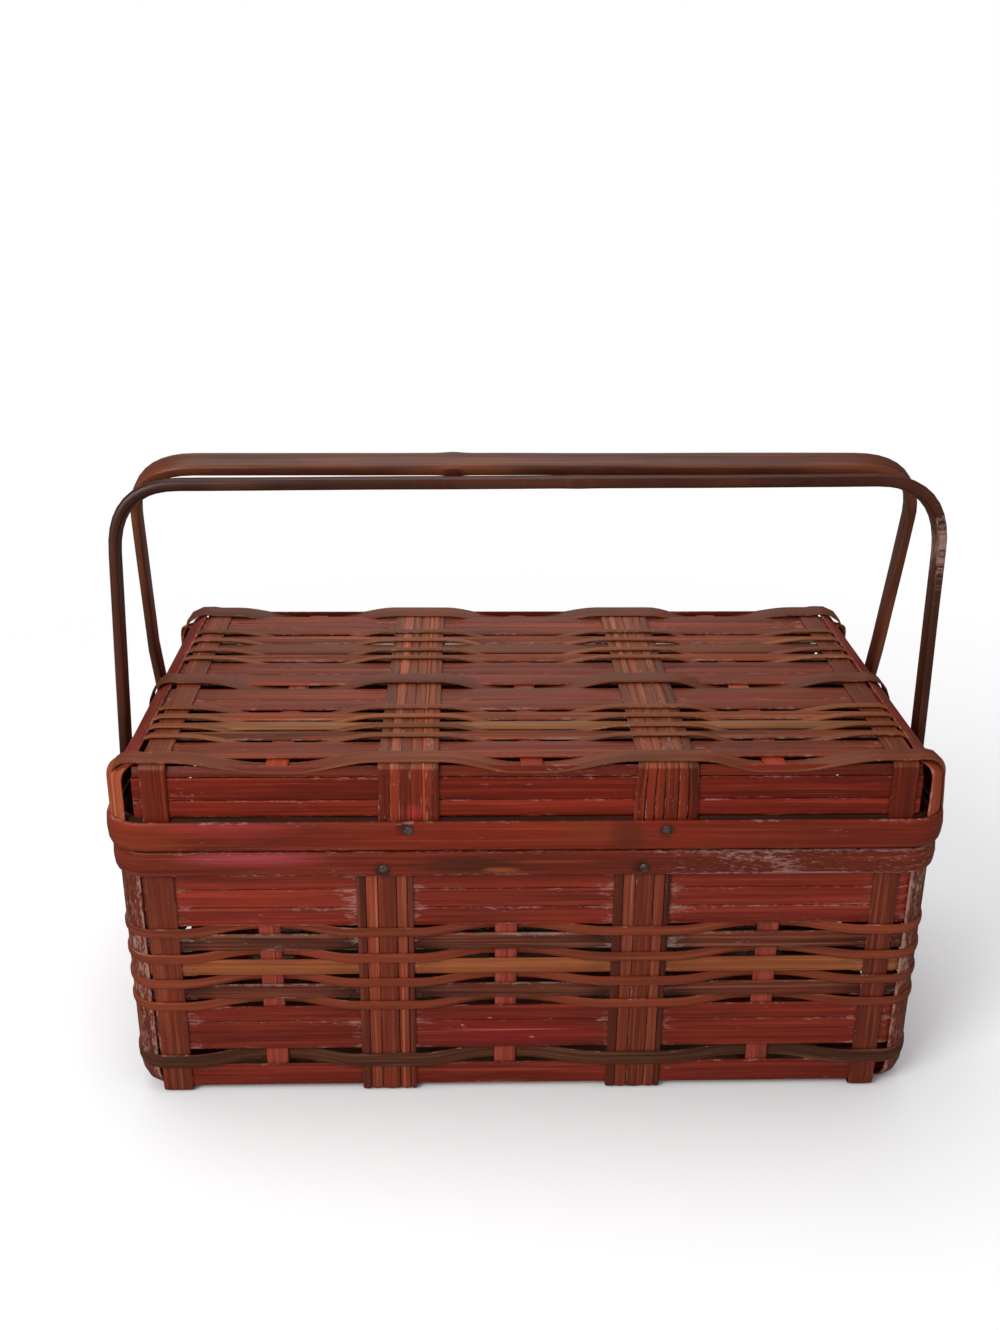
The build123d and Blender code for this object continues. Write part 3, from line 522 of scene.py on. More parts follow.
def old_iron(name, bare, rust, amount):
    """Iron gone dull, with rust in patches and a pitted face."""
    material, tree, skin = shader_start(name)
    where = own_place(tree)
    pits = noise_at(where, 5.0, 0.5, 900.0)
    patches = noise_at(where, 3.0, 0.5, 350.0)
    rusty = band(patches, 0.62 - amount * 0.3, 0.72 - amount * 0.2)
    colour = mix_colour(rusty, bare, rust)
    pitted = times(band(pits, 0.3, 0.5, True), 0.7)
    colour = mix_colour(pitted, colour, tuple(0.3 * c for c in rust))
    wire(colour, skin.inputs["Base Color"])
    wire(minus(0.8, times(rusty, 0.3)), skin.inputs["Metallic"])
    wire(plus(0.42, times(rusty, 0.35)), skin.inputs["Roughness"])
    bumped(skin, pits, 0.0002)
    return material


core = hidden_bamboo("Dark rim core", (0.075, 0.022, 0.012), (0.030, 0.012, 0.008))
nail_iron = old_iron("Nail iron", (0.20, 0.16, 0.155), (0.07, 0.030, 0.02), 0.6)
wire_iron = old_iron("Wire iron", (0.16, 0.14, 0.13), (0.09, 0.035, 0.02), 0.7)


def dress(names, material):
    for name in names:
        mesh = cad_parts[name].data
        mesh.materials.clear()
        mesh.materials.append(material)


dress(["body_rim_core", "lid_rim_core"], core)
dress(["body_nails", "lid_nails"], nail_iron)
dress(["hinge_rings", "pivot_pins", "spacer_washers", "cap_washers"], wire_iron)
print("CAD parts dressed:", sum(1 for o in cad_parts.values() if o.data.materials))

# %% [markdown]
# ## Paths for the weave
# The body is a rounded rectangle in plan. A hoop follows it at one height. A weaver follows it too,
# but swings outwards over the outer stakes and inwards behind the inner ones, so its path is the
# same loop with a distance that rises and falls. A stake is a U: up one wall, over the base or the
# lid, and up the other. These helpers give the points and the direction of the skin.

# %% Loops round the walls
def loop(plan, z, offset, rise=None, step=6.0):
    """An open loop round the walls; offset(side, t) is the distance from the wall plane."""
    hx, hy, r = plan["half_x"], plan["half_y"], plan["corner"]
    runs = []
    for side, (axis, half, cx, cy) in enumerate((((1, 0), hx - r, 0, -hy), ((0, 1), hy - r, hx, 0),
                                                 ((-1, 0), hx - r, 0, hy), ((0, -1), hy - r, -hx, 0))):
        normal = (axis[1], -axis[0])
        for t in np.linspace(-half, half, max(2, int(2 * half / step))):
            runs.append((cx + axis[0] * t, cy + axis[1] * t, *normal, side, t * (1 if side < 2 else -1)))
        corner = ((hx - r, -hy + r), (hx - r, hy - r), (-hx + r, hy - r), (-hx + r, -hy + r))[side]
        for turn in np.linspace(0, 90, 9)[1:-1]:
            angle = math.radians(side * 90 - 90 + turn)
            runs.append((corner[0] + r * math.cos(angle), corner[1] + r * math.sin(angle),
                         math.cos(angle), math.sin(angle), 4, 0.0))
    back = [i for i, row in enumerate(runs) if row[4] == 2]
    first = min(back, key=lambda i: abs(runs[i][5] - HOOP_ENDS * hx))
    runs = runs[first:] + runs[:first + 1]
    points, outs = [], []
    for x, y, nx, ny, side, t in runs:
        d = offset(side, t)
        lift = rise(side, t) if rise else 0.0
        points.append((x + nx * d, y + ny * d, z + lift))
        outs.append((nx, ny, 0.0))
    return points, outs


def ease(x):
    x = min(1.0, max(0.0, x))
    return x * x * (3 - 2 * x)


def swing(t, crossings, high, low):
    """The distance of a weaver from the wall plane at t, easing between the stakes it crosses."""
    zones = sorted(crossings)
    if t <= zones[0][0]:
        return high if zones[0][2] > 0 else low
    for (a, half_a, level_a), (b, half_b, level_b) in zip(zones, zones[1:]):
        if a <= t <= b:
            from_t, to_t = a + half_a + STAKE_MARGIN, b - half_b - STAKE_MARGIN
            share = ease((t - from_t) / max(to_t - from_t, 1e-6))
            start = high if level_a > 0 else low
            end = high if level_b > 0 else low
            return start + (end - start) * share
    return high if zones[-1][2] > 0 else low


def crossings(stakes):
    """Where a weaver meets the stakes: the middle, the half width, and 1 over or -1 behind."""
    rows = [(x, CORNER_HALF, 1) for x in stakes["corner"]]
    rows += [(x, BUNDLE_HALF, 1) for x in stakes["bundle"]]
    rows += [(x, NARROW_HALF, -1) for x in stakes["narrow"]]
    return sorted(rows)


BODY_FRONT = crossings(BODY_STAKES)
BODY_SIDE = [(-81, 1, 1), (-47, NARROW_HALF, -1), (0, BUNDLE_HALF, 1), (47, NARROW_HALF, -1), (81, 1, 1)]


def weaver_offset(side, t):
    if side == 4:
        return WEAVE_OUT
    return swing(t, BODY_FRONT if side in (0, 2) else BODY_SIDE, WEAVE_OUT, WEAVE_IN)


def weaver_rise(amount):
    return lambda side, t: amount * (WEAVE_OUT - weaver_offset(side, t)) / (WEAVE_OUT - WEAVE_IN)


def from_stakes(xs, rows):
    """How far each x is from the nearest edge of a stake that lies outside."""
    edges = np.array([x + side * half for x, half, level in rows if level > 0 for side in (-1, 1)])
    return np.min(np.abs(xs[:, None] - edges[None, :]), axis=1)


def flat_hoop(plan, low, high, half_t=SPLINT_HALF_T, offset=0.0, step=9.0, swell=0.0, rub_from=None, dirt=0.0, **more):
    """A level strip round the walls, swollen at the corners and rubbed beside the stakes named."""
    points, outs = loop(plan, (low + high) / 2, lambda side, t: offset, step=step)
    spots = np.array(points)
    corner = np.abs(spots[:, 0]) / plan["half_x"] + np.abs(spots[:, 1]) / plan["half_y"] > 1.84
    half_w = (high - low) / 2 + swell * corner
    if rub_from is not None:
        near = from_stakes(spots[:, 0], rub_from)
        more["rub"] = np.where(corner, 0.7, np.clip(1.0 - near / 9.0, 0.0, 1.0))
        more["shade"] = dirt * np.clip(1.1 - near / 14.0, 0.0, 1.0)
    return strip(points, outs, half_w, half_t, **more)


print("a hoop has", len(loop(BODY, 50, lambda s, t: 0)[0]), "points")

# %% [markdown]
# ## The splint hoops of the body
# Between the rim and the base, five rows of splints lie in the wall plane: wide red ones above and
# below, and grey, tan and grey ones between them. A wide row is two or three strips laid edge to
# edge, so it is made of strips with fine gaps, not of one broad band with painted lines. One more
# red splint lies at the foot of the front and of the back.

# %% Splint hoops
FULL = {"crown": 0.8, "edge_roundness": 0.45}
RED_ROWS = {"upper_red_hoop": [(92.2, 101.6), (101.9, 111.3), (111.6, 119.2)],
            "lower_red_hoop": [(24.2, 39.4), (39.7, 48.0)]}
for name, rows in RED_ROWS.items():
    hoops = [flat_hoop(BODY, low, high, step=3.0, rub_from=BODY_FRONT) for low, high in rows]
    weave("body_" + name, hoops, red, "basket", [name], "red_splints", points_round=20, crown=0.7, waviness=0.0002)
for name, finish, low, high in (("upper_grey_hoop", grey, 79.0, 87.6), ("tan_hoop", tan, 65.8, 73.9),
                                ("lower_grey_hoop", grey, 52.6, 60.3)):
    dirt, slot = (0.15, "tan_splints") if finish is tan else (0.6, "grey_splints")
    hoop = flat_hoop(BODY, low, high, 0.7, step=3.0, swell=0.6, rub_from=BODY_FRONT, dirt=dirt)
    weave("body_" + name, [hoop], finish, "basket", [name], slot, **FULL)

bottom = []
for end, bright in ((-1, 0.86), (1, 1.0)):
    points = [(-end * x, end * BODY["half_y"], 9.2) for x in np.linspace(-168.0, 168.0, 40)]
    bottom.append(strip(points, [(0, end, 0)] * 40, 6.0, SPLINT_HALF_T, tint=(bright, bright, bright)))
weave("bottom_front_and_back_splints", bottom, red, "basket", ["bottom_splints"], "red_splints",
      points_round=20, crown=0.6)

# %% [markdown]
# ## The weavers of the body
# Thin weavers run over the outer stakes and behind the inner ones, so each dips into the wall
# between them and leaves the dark wedges that show the weave. Behind an inner stake a weaver also
# sits a little higher, because it is pressed up as it bends. A wider, darker weaver runs near the
# foot in the same way.

# %% Weavers round the body
thin_rows = []
for z in (50.4, 62.9, 76.3, 90.2):
    points, outs = loop(BODY, z - 0.5, weaver_offset, rise=weaver_rise(1.6), step=4.0)
    thin_rows.append(strip(points, outs, 2.35, WEAVER_HALF_T))
weave("body_thin_weavers", thin_rows, weaver, "basket", ["thin_weavers"], "brown_weavers",
      crown=0.6, edge_roundness=0.4, width_change=0.06)
points, outs = loop(BODY, 18.6, weaver_offset, rise=weaver_rise(1.2), step=4.0)
weave("body_brown_weaver", [strip(points, outs, 3.7, WEAVER_HALF_T)], brown, "basket", ["brown_weaver"],
      "brown_weavers", crown=0.6, edge_roundness=0.4, width_change=0.05)

# %% [markdown]
# ## The stakes of the body
# A stake starts behind the rim band, comes down the front, bends under the base and goes up the
# back. A bundle is five stakes side by side: dark, orange, a brown one in the middle, orange and
# dark again. Each path is straight runs joined by small arcs.

# %% U-shaped stakes
def bent_path(corners, radius, step=8.0):
    """Points of a path in a plane, with its corners rounded: corners are (a, b) pairs."""
    corners = [np.array(c, float) for c in corners]
    points = [corners[0]]
    for before, here, after in zip(corners, corners[1:], corners[2:]):
        into, away = here - before, after - here
        into, away = into / np.linalg.norm(into), away / np.linalg.norm(away)
        turn = math.acos(max(-1.0, min(1.0, float(into @ away))))
        reach = radius * math.tan(turn / 2)
        start, end = here - into * reach, here + away * reach
        for share in np.linspace(0, 1, 11):
            one = start + (here - start) * share
            two = here + (end - here) * share
            points.append(one + (two - one) * share)
    points.append(corners[-1])
    dense = [points[0]]
    for a, b in zip(points, points[1:]):
        count = max(1, int(np.linalg.norm(b - a) / step))
        dense += [a + (b - a) * (i / count) for i in range(1, count + 1)]
    return np.array(dense)


def outward(path):
    """The direction at right angles to a plane path, on its right."""
    way = tangents(path)
    return np.stack([way[:, 1], -way[:, 0]], axis=1)


def u_path(half, base_z, radius):
    """Down one wall of the body, under the base and up the other."""
    return bent_path([(-half, BODY_STAKE_END), (-half, base_z), (half, base_z), (half, BODY_STAKE_END)], radius)


def body_stake(x, half_w, layer, base_z=0.62):
    path = u_path(BODY["half_y"] + layer, base_z, 3.0)
    return strip([(x, a, b) for a, b in path], [(0, *o) for o in outward(path)], half_w, SPLINT_HALF_T)


def bundle(centre, maker, widths):
    """Makes the strips of a bundle side by side, from left to right."""
    edge = centre - sum(widths) / 2
    made = []
    for width in widths:
        made.append(maker(edge + width / 2, width / 2 - 0.12))
        edge += width
    return made


BUNDLE_WIDTHS = [4.4, 5.4, 8.6, 4.8, 2.8]
for name, centre in zip(("body_bundle_left", "body_bundle_right"), BODY_STAKES["bundle"]):
    strips = bundle(centre, lambda x, half: body_stake(x, half, STAKE_OUT), BUNDLE_WIDTHS)
    for label, finish, chosen in (("dark", dark, strips[0::4]), ("orange", orange, strips[1::2]),
                                  ("brown", stake, strips[2:3])):
        weave(f"{name}_{label}", chosen, finish, "basket", [name], "brown_stakes", crown=0.5)
uprights = [body_stake(x, half, STAKE_OUT) for x, half in zip(BODY_STAKES["corner"], (7.0, 5.9))]
weave("body_corner_uprights", uprights, stake, "basket", ["body_corner_stakes"], "brown_stakes", crown=0.3)
weave("body_inner_stakes", [body_stake(x, 5.1, STAKE_IN, base_z=3.12) for x in BODY_STAKES["narrow"]], inner,
      "basket", ["body_narrow_stakes"], "red_splints", crown=0.4)

# %% [markdown]
# ## Side walls, corner posts and base
# The ends of the basket are closed in the same way: a bundle and two inner stakes on each side,
# which go under the base, and a post on each rounded corner. A post is bent in under the base at
# its foot, which gives the basket its soft lower corners.

# %% Side stakes and corner posts
def side_stake(y, half_w, layer, base_z):
    path = u_path(BODY["half_x"] + layer, base_z, 13.2)
    return strip([(a, y, b) for a, b in path], [(o[0], 0, o[1]) for o in outward(path)], half_w, SPLINT_HALF_T)


side_bundle = [side_stake(y, half, STAKE_OUT, 1.87) for y, half in ((-8.6, 3.9), (0.0, 4.4), (8.6, 3.9))]
weave("side_wall_bundle_orange", side_bundle[0::2], orange, "basket", ["side_bundle"], "brown_stakes", crown=0.4)
weave("side_wall_bundle_brown", side_bundle[1:2], stake, "basket", ["side_bundle"], "brown_stakes", crown=0.4)
weave("side_wall_inner_stakes", [side_stake(y, 4.9, STAKE_IN, 3.12) for y in (-47, 47)], inner, "basket",
      ["side_narrow_stakes"], "red_splints", crown=0.4)


def corner_strip(plan, hand, end, turn, path, half_w, half_t, **more):
    """A strip up a rounded corner; the path's first number is the distance from the corner's centre."""
    centre = (hand * (plan["half_x"] - plan["corner"]), end * (plan["half_y"] - plan["corner"]))
    way = (hand * math.cos(math.radians(turn)), end * math.sin(math.radians(turn)))
    points = [(centre[0] + way[0] * a, centre[1] + way[1] * a, b) for a, b in path]
    outs = [(-way[0] * o[0], -way[1] * o[0], -o[1]) for o in outward(path)]
    return strip(points, outs, half_w, half_t, **more)


CORNERS = [(hand, end) for hand in (-1, 1) for end in (-1, 1)]
path = bent_path([(14.4, 131.0), (14.4, 1.9), (-6.0, 1.9)], 12.4)
rub = [0.85 if b > 8 else 0.3 for a, b in path]
posts = [corner_strip(BODY, hand, end, 47.0, path, 7.0, 0.35, rub=rub) for hand, end in CORNERS]
weave("body_corner_posts", posts, stake, "basket", ["corner_posts"], "brown_stakes", crown=5.0)

# %% Base and the lower edge of the side walls
flat = []
for y, width in ((28.0, 24.6), (67.0, 24.6), (87.0, 12.2)):
    for side in (-1, 1):
        points = [(x, side * y, 1.87) for x in np.linspace(-159, 159, 24)]
        flat.append(strip(points, [(0, 0, -1)] * 24, width / 2, 0.5))
weave("base_woven_splints", flat, plain, "basket", ["base_splints"], "plain_bamboo", crown=0.3)
edge_splints = []
for hand in (-1, 1):
    path = bent_path([(-34.6, 3.1), (-2.5, 3.1), (-2.5, 15.6)], 11.5)
    points = [(hand * (BODY["half_x"] + a), 0, b) for a, b in path]
    outs = [(hand * o[0], 0, o[1]) for o in outward(path)]
    for y, half in ((-64.0, 24.1), (-20.0, 20.1), (20.0, 20.1), (64.0, 24.1)):
        moved = [(p[0], p[1] + y, p[2]) for p in points]
        edge_splints.append(strip(moved, outs, half, 0.5))
weave("side_lower_splints", edge_splints, red, "basket", ["side_bottom_splints"], "red_splints", crown=0.3)

# %% [markdown]
# ## The rim bands of the body
# Two thicker bands clamp the upper ends of the stakes between them. They are half-round pieces of
# bamboo with the skin outside, nailed through the bundles. The outer one shows faded dye, a dark
# spot where a node was, grey wear where hands have rubbed it, and a pale pink streak that is a
# painted highlight; the lid's outer band has one too.

# %% Body rim
BAND_LOOK = {"crown": 0.7, "edge_roundness": 0.4, "waviness": 0.00015, "width_change": 0.02}
INNER_BAND_LOOK = {"crown": 0.0, "edge_roundness": 0.35, "waviness": 0.0001, "width_change": 0.01}
band_hoop = flat_hoop(BODY, 120.0, 132.6, BAND_HALF_T, BAND_OUT, tint=(0.95, 0.92, 0.9))
band_hoop["rub"] = np.where((band_hoop["points"][:, 1] < -60) & (band_hoop["points"][:, 0] > 60), 0.8, 0.2)
weave("body_rim_outer", [band_hoop], rim, "basket", ["body_outer_band"], "rim_bamboo", **BAND_LOOK)
inner_hoop = flat_hoop(BODY, 120.2, 132.9, INNER_BAND_HALF_T, INNER_BAND_OUT)
weave("body_rim_inner", [inner_hoop], rim, "basket", ["body_inner_band"], "rim_bamboo", **INNER_BAND_LOOK)

# %% [markdown]
# ## The lid's stakes
# The lid is woven like the body. Its stakes go over the top from front to back, and both ends come
# down over the skirt and behind the lid's band. The bundles, of seven strips on the left and six on
# the right, are not quite straight: their strips fan out and leave dark gaps.

# %% Lid stakes
def lid_height(y):
    """The lid's top stands a little higher towards the back."""
    return LID_TOP + LID_RISE * (y + LID["half_y"]) / (2 * LID["half_y"])


# Painted sheen: the first tint makes a stake paler where it lies on the lid's top, as if lit from above; the second
# keeps it deeper on the walls.
TOP_SHEEN_TINT, WALL_TINT_NO_SHEEN = [1.25, 1.75, 1.85], [1.0, 0.62, 0.34]


def lid_stake(x, half_w, layer, radius=3.8, bulge=0.0, tint=(1, 1, 1), **more):
    """A stake over the lid: paler on top by a painted sheen, deeper in colour where it comes down a wall."""
    y, top = LID["half_y"] + layer, LID_TOP + layer
    path = bent_path([(y, LID_STAKE_END), (y, top + LID_RISE), (-y, top), (-y, LID_STAKE_END)], radius)
    points = []
    for a, b in path:
        drop = max(0.0, (top - b) / (top - LID_STAKE_END))
        points.append((x + bulge * 4 * drop * (1 - drop), a, b))
    # Painted sheen: the tint is paler where the stake lies on the lid's top.
    tint = np.array(tint, float) * np.where(path[:, 1:2] > LID_TOP - 1, TOP_SHEEN_TINT, WALL_TINT_NO_SHEEN)
    return strip(points, [(0, *o) for o in outward(path)], half_w, 0.5, tint=tint, **more)


# A row is one strip of a bundle: x, half width, brightness, rub.
LID_LEFT = [(-64.0, 2.6, 1.0, 0.3), (-59.2, 2.2, 1.6, 0.7), (-54.6, 2.4, 1.0, 0.2), (-49.8, 2.4, 0.95, 0.2),
            (-46.6, 0.75, 2.1, 0.1), (-44.2, 1.6, 1.25, 0.5), (-41.4, 1.25, 0.95, 0.3)]
LID_RIGHT = [(49.9, 2.2, 1.0, 0.2), (54.0, 1.85, 1.6, 0.4), (57.8, 1.9, 1.4, 0.2), (62.4, 2.8, 1.1, 0.5),
             (67.3, 2.0, 1.2, 0.6), (71.5, 2.1, 0.8, 0.2)]
for name, rows, bulge in (("lid_bundle_left", LID_LEFT, 0.2), ("lid_bundle_right", LID_RIGHT, 1.6)):
    middle = sum(row[0] for row in rows) / len(rows)
    chosen = [lid_stake(x, half, STAKE_OUT, bulge=bulge * (x - middle) / 13, rub=rub,
                        tint=(bright, bright * 1.1, bright * 1.1)) for x, half, bright, rub in rows]
    weave(f"{name}_strips", chosen, stake, "lid", [name], "brown_stakes", crown=0.5)
uprights = [lid_stake(x, 5.8, STAKE_OUT, tint=(0.85, 0.85, 0.8)) for x in (-164.5, 165.8)]
weave("lid_corner_uprights", uprights, stake, "lid", ["lid_corner_stakes"], "brown_stakes", crown=0.3)
weave("lid_inner_stakes", [lid_stake(x, 5.1, STAKE_IN, 1.5) for x in LID_STAKES["narrow"]], inner, "lid",
      ["lid_narrow_stakes"], "brown_stakes", crown=0.4)

# %% [markdown]
# ## The top of the lid
# Across the top lie four red rows, each of two or three strips, and between them the grey and tan
# splints. They end under a strip that runs along each side edge.

# %% Splints of the lid's top
LID_FRONT = crossings(LID_STAKES)


def top_splint(low, high, reach=175.0, grow=0.4, **more):
    """A splint across the lid, rubbed beside the stakes and a little wider between them."""
    y = (low + high) / 2
    xs = np.linspace(-reach, reach, 115)
    near = from_stakes(xs, LID_FRONT)
    half_w = (high - low) / 2 + grow * np.clip(near / 22.0, 0.0, 1.0)
    return strip([(x, y, lid_height(y)) for x in xs], [(0, 0, 1)] * len(xs), half_w, SPLINT_HALF_T,
                 rub=np.clip(0.6 - near / 12.0, 0.0, 1.0), **more)


RED_TOP = [(-87.6, -80.6), (-80.3, -73.0), (-36.4, -26.5), (-26.2, -12.2), (-6.3, 6.0), (6.3, 14.0), (14.3, 21.0),
           (63.0, 71.5), (71.8, 79.5), (79.8, 89.5)]
# Painted sheen: the red splints on the lid's top are tinted paler than the same red on the walls.
reds = [top_splint(a, b, 170.0 if b < -70 else 174.5, tint=(1.0, 1.75, 1.5)) for a, b in RED_TOP]
weave("lid_top_red_splints", reds, red, "lid", ["lid_red_splints"], "red_splints", points_round=20, crown=0.8,
      waviness=0.0003)
GREY_TOP = [(-68.8, -61.6), (-47.4, -40.8), (25.2, 32.8), (49.9, 59.2)]
greys = [top_splint(a, b, grow=1.0, tint=(1.9, 1.9, 1.6)) for a, b in GREY_TOP]
weave("lid_top_grey_splints", greys, grey, "lid", ["lid_grey_splints"], "grey_splints", **FULL)
tans = [top_splint(-58.0, -51.2, grow=1.0, tint=(0.72, 0.95, 1.0)),
        top_splint(35.9, 47.9, grow=0.8, tint=(0.47, 0.42, 0.36))]
weave("lid_top_tan_splints", tans, tan, "lid", ["lid_tan_splints"], "tan_splints", **FULL)

# %% Weavers of the lid's top
LID_TOP_HIGH, LID_TOP_LOW = 2.8, -2.6


def top_weaver(y, half_w, reach, tail=(), tilt=0.0, drift=0.0, tint=(0.8, 1.05, 1.1), left_tail=None):
    """A weaver across the lid. A tail's rows say how it ends: x, shift in y, z, and the skin's way out."""
    points = []
    for x in np.arange(-reach, reach + 0.1, 4.0):
        level = swing(x, LID_FRONT, LID_TOP_HIGH, LID_TOP_LOW)
        points.append((x, y + drift * (LID_TOP_HIGH - level) / 5, lid_height(y) + level))
    outs = [(0, tilt, 1)] * len(points)
    lift = lid_height(y) - LID_TOP
    for hand, rows in ((1, tail), (-1, tail if left_tail is None else left_tail)):
        for x, dy, z, ox, oz in rows:
            share = min(1.0, max(0.0, (z - 150) / 24))
            place = len(points) if hand > 0 else 0
            points.insert(place, (hand * x, y + dy, z + lift * share))
            outs.insert(place, (hand * ox, tilt * share, oz))
    return strip(points, outs, half_w, 0.42, tint=tint)


tuck = [(173.0, 0.0, LID_TOP + 1.6, 0.2, 1.0), (175.0, 0.0, LID_TOP + 1.0, 0.2, 1.0)]
thin_ys = (-70.4, -59.9, -49.3, -39.0, 23.4, 34.4, 48.5, 60.8)
thin = [top_weaver(y, 2.05, 170.0, tuck, tint=(1.0, 1.5, 1.4)) for y in thin_ys]
weave("lid_top_thin_weavers", thin, weaver, "lid", ["lid_thin_weavers"], "brown_weavers", crown=0.8,
      edge_roundness=0.4, width_change=0.08)
over = [(173.5, 0, 176.9, 0.05, 1), (177.0, 0, 176.3, 0.3, 1), (180.0, 0, 174.6, 0.7, 0.8),
        (182.4, 0, 171.8, 0.9, 0.45), (184.2, 0, 167.5, 1, 0.25), (186.0, 0, 158.0, 1, 0.15),
        (186.9, 0, 149.0, 1, 0.05), (187.0, 0, 140.0, 1, 0), (187.0, 0, 134.5, 1, 0)]
curl = [(173.5, 0, 176.9, 0.05, 1), (177.0, 0.4, 176.4, 0.3, 1), (180.5, 1.2, 174.9, 0.7, 0.8),
        (183.2, 2.2, 172.0, 0.9, 0.5), (184.8, 3.2, 168.0, 1, 0.25), (185.6, 4.0, 161.0, 1, 0.1),
        (186.2, 4.6, 152.0, 1, 0.05), (186.6, 5.0, 142.0, 1, 0)]
short_curl = [(173.5, 0, 176.9, 0.05, 1), (177.0, 0.5, 176.3, 0.3, 1), (180.2, 1.6, 174.6, 0.7, 0.8),
              (182.2, 3.0, 172.2, 0.9, 0.5), (183.2, 4.4, 169.6, 1, 0.3)]
back_curl = [(170.0, 0.3, 176.9, 0.0, 1), (175.0, 0.2, 177.0, 0.15, 1), (179.5, -1.6, 175.8, 0.45, 0.9),
             (183.2, -3.8, 172.6, 0.8, 0.6), (185.4, -5.8, 167.5, 1, 0.3), (186.2, -6.8, 160.0, 1, 0.1),
             (186.6, -7.4, 151.0, 1, 0.05), (186.8, -7.8, 142.0, 1, 0)]
browns = [top_weaver(-92.6, 4.4, 170.0, curl, tilt=-0.14, left_tail=short_curl),
          top_weaver(-4.6, 5.8, 170.0, over, drift=-4.6), top_weaver(91.0, 6.0, 166.0, back_curl, tilt=-0.08)]
weave("lid_top_brown_weavers", browns, weaver, "lid", ["lid_brown_weavers"], "brown_weavers", crown=0.5,
      edge_roundness=0.4, width_change=0.05)

# %% [markdown]
# ## The lid's skirt and edges
# The walls of the lid are straight red strips between the corners, with a narrow strip tilted over
# the edge above them. At each corner only one bent strip closes the gap, so the dark inside shows
# beside it.

# %% Skirt strips
def wall_strip(hand, end, low, high, reach, lean_low=0.0, lean_high=0.0, half_t=SPLINT_HALF_T, **more):
    """A straight strip of the lid's wall: on a side if hand is set, on the front or back if end is."""
    half = LID["half_x"] if hand else LID["half_y"]
    away = half - (lean_low + lean_high) / 2
    slope = (lean_high - lean_low) / (high - low)
    size = math.hypot(high - low, lean_high - lean_low) / 2
    way = np.linspace(-reach, reach, max(12, int(reach / 5)))
    z = (low + high) / 2
    if hand:
        return strip([(hand * away, hand * t, z) for t in way], [(hand, 0, slope)] * len(way), size, half_t, **more)
    return strip([(-end * t, end * away, z) for t in way], [(0, end, slope)] * len(way), size, half_t, **more)


SKIRT = [{"low": 149.5, "high": 157.3, "back": (-1.4, 0.0), "sides_up": 0.0, "front_lean": (0.0, 0.0),
          "side_lean": (0.0, 1.2), "tint": (1.05, 0.8, 0.5), "chance": 0.35},
         {"low": 157.6, "high": 168.3, "back": (0.0, 1.5), "sides_up": 2.7, "front_lean": (0.0, 0.1),
          "side_lean": (1.3, 4.4), "tint": (0.82, 0.55, 0.2), "chance": 0.55}]
skirt = []
for row in SKIRT:
    for side in (-1, 1):
        down, up = row["back"] if side > 0 else (0.0, 0.0)
        skirt.append(wall_strip(0, side, row["low"] + down, row["high"] + up, 174.0, *row["front_lean"],
                                tint=row["tint"], chance=row["chance"]))
        skirt.append(wall_strip(side, 0, row["low"], row["high"] + row["sides_up"], 85.0, *row["side_lean"],
                                tint=row["tint"]))
weave("lid_skirt_strips", skirt, red, "lid", ["lid_skirt_hoop"], "red_splints", points_round=20, crown=0.8)
for name, end, low, high, lean in (("lid_front_edge_strip", -1, 168.7, 173.2, 1.9),
                                   ("lid_back_edge_strip", 1, 170.2, 177.4, 0.8)):
    tilted = wall_strip(0, end, low, high, 173.5, 0.0, lean, 0.5, tint=(0.75, 0.9, 0.7))
    weave(name + "_tilted", [tilted], red, "lid", [name], "red_splints", crown=0.9)
edges = []
for hand in (-1, 1):
    points = [(hand * 176.7, hand * t, lid_height(hand * t) - 0.25) for t in np.linspace(-92.0, 95.0, 40)]
    edges.append(strip(points, [(hand * 0.5, 0, 0.866)] * 40, 4.5, 0.62, rub=0.2, tint=(1.1, 1.3, 1.3)))
weave("lid_side_edges", edges, red, "lid", ["lid_side_edge_strips"], "red_splints", crown=0.8, width_change=0.06)

# %% Corner strips
path = bent_path([(16.7, 148.2), (16.7, 173.2), (2.0, 173.2)], 7.5, step=5.0)[::-1]
bent = [corner_strip(LID, hand, end, 45.0, path, 5.8 if end < 0 else 8.5, 0.5, rub=0.5, tint=(1.6, 1.75, 1.5))
        for hand, end in CORNERS]
weave("lid_corner_bends", bent, orange, "lid", ["lid_corner_strips"], "brown_stakes", crown=1.0)

# %% The bands of the lid
band_hoop = flat_hoop(LID, 133.9, 148.1, BAND_HALF_T, BAND_OUT, tint=(1.22, 1.0, 0.85))
weave("lid_rim_outer", [band_hoop], rim, "lid", ["lid_outer_band"], "rim_bamboo", **BAND_LOOK)
inner_hoop = flat_hoop(LID, 133.6, 147.9, INNER_BAND_HALF_T, INNER_BAND_OUT)
weave("lid_rim_inner", [inner_hoop], rim, "lid", ["lid_inner_band"], "rim_bamboo", **INNER_BAND_LOOK)

# %% [markdown]
# ## The bent handles
# Each handle is one split piece of bamboo, flat inside and round on its skin side, heated and bent
# at two places. It lies in a plane that leans from its pivots to its bar, so the path is drawn in
# that plane and then tipped. Old nodes leave low swellings, and the ends are rounded off.

# %% Handles
PIVOT_Z = 126.5
HANDLE_BEND = 32.0
LEG_HALF = 5.6


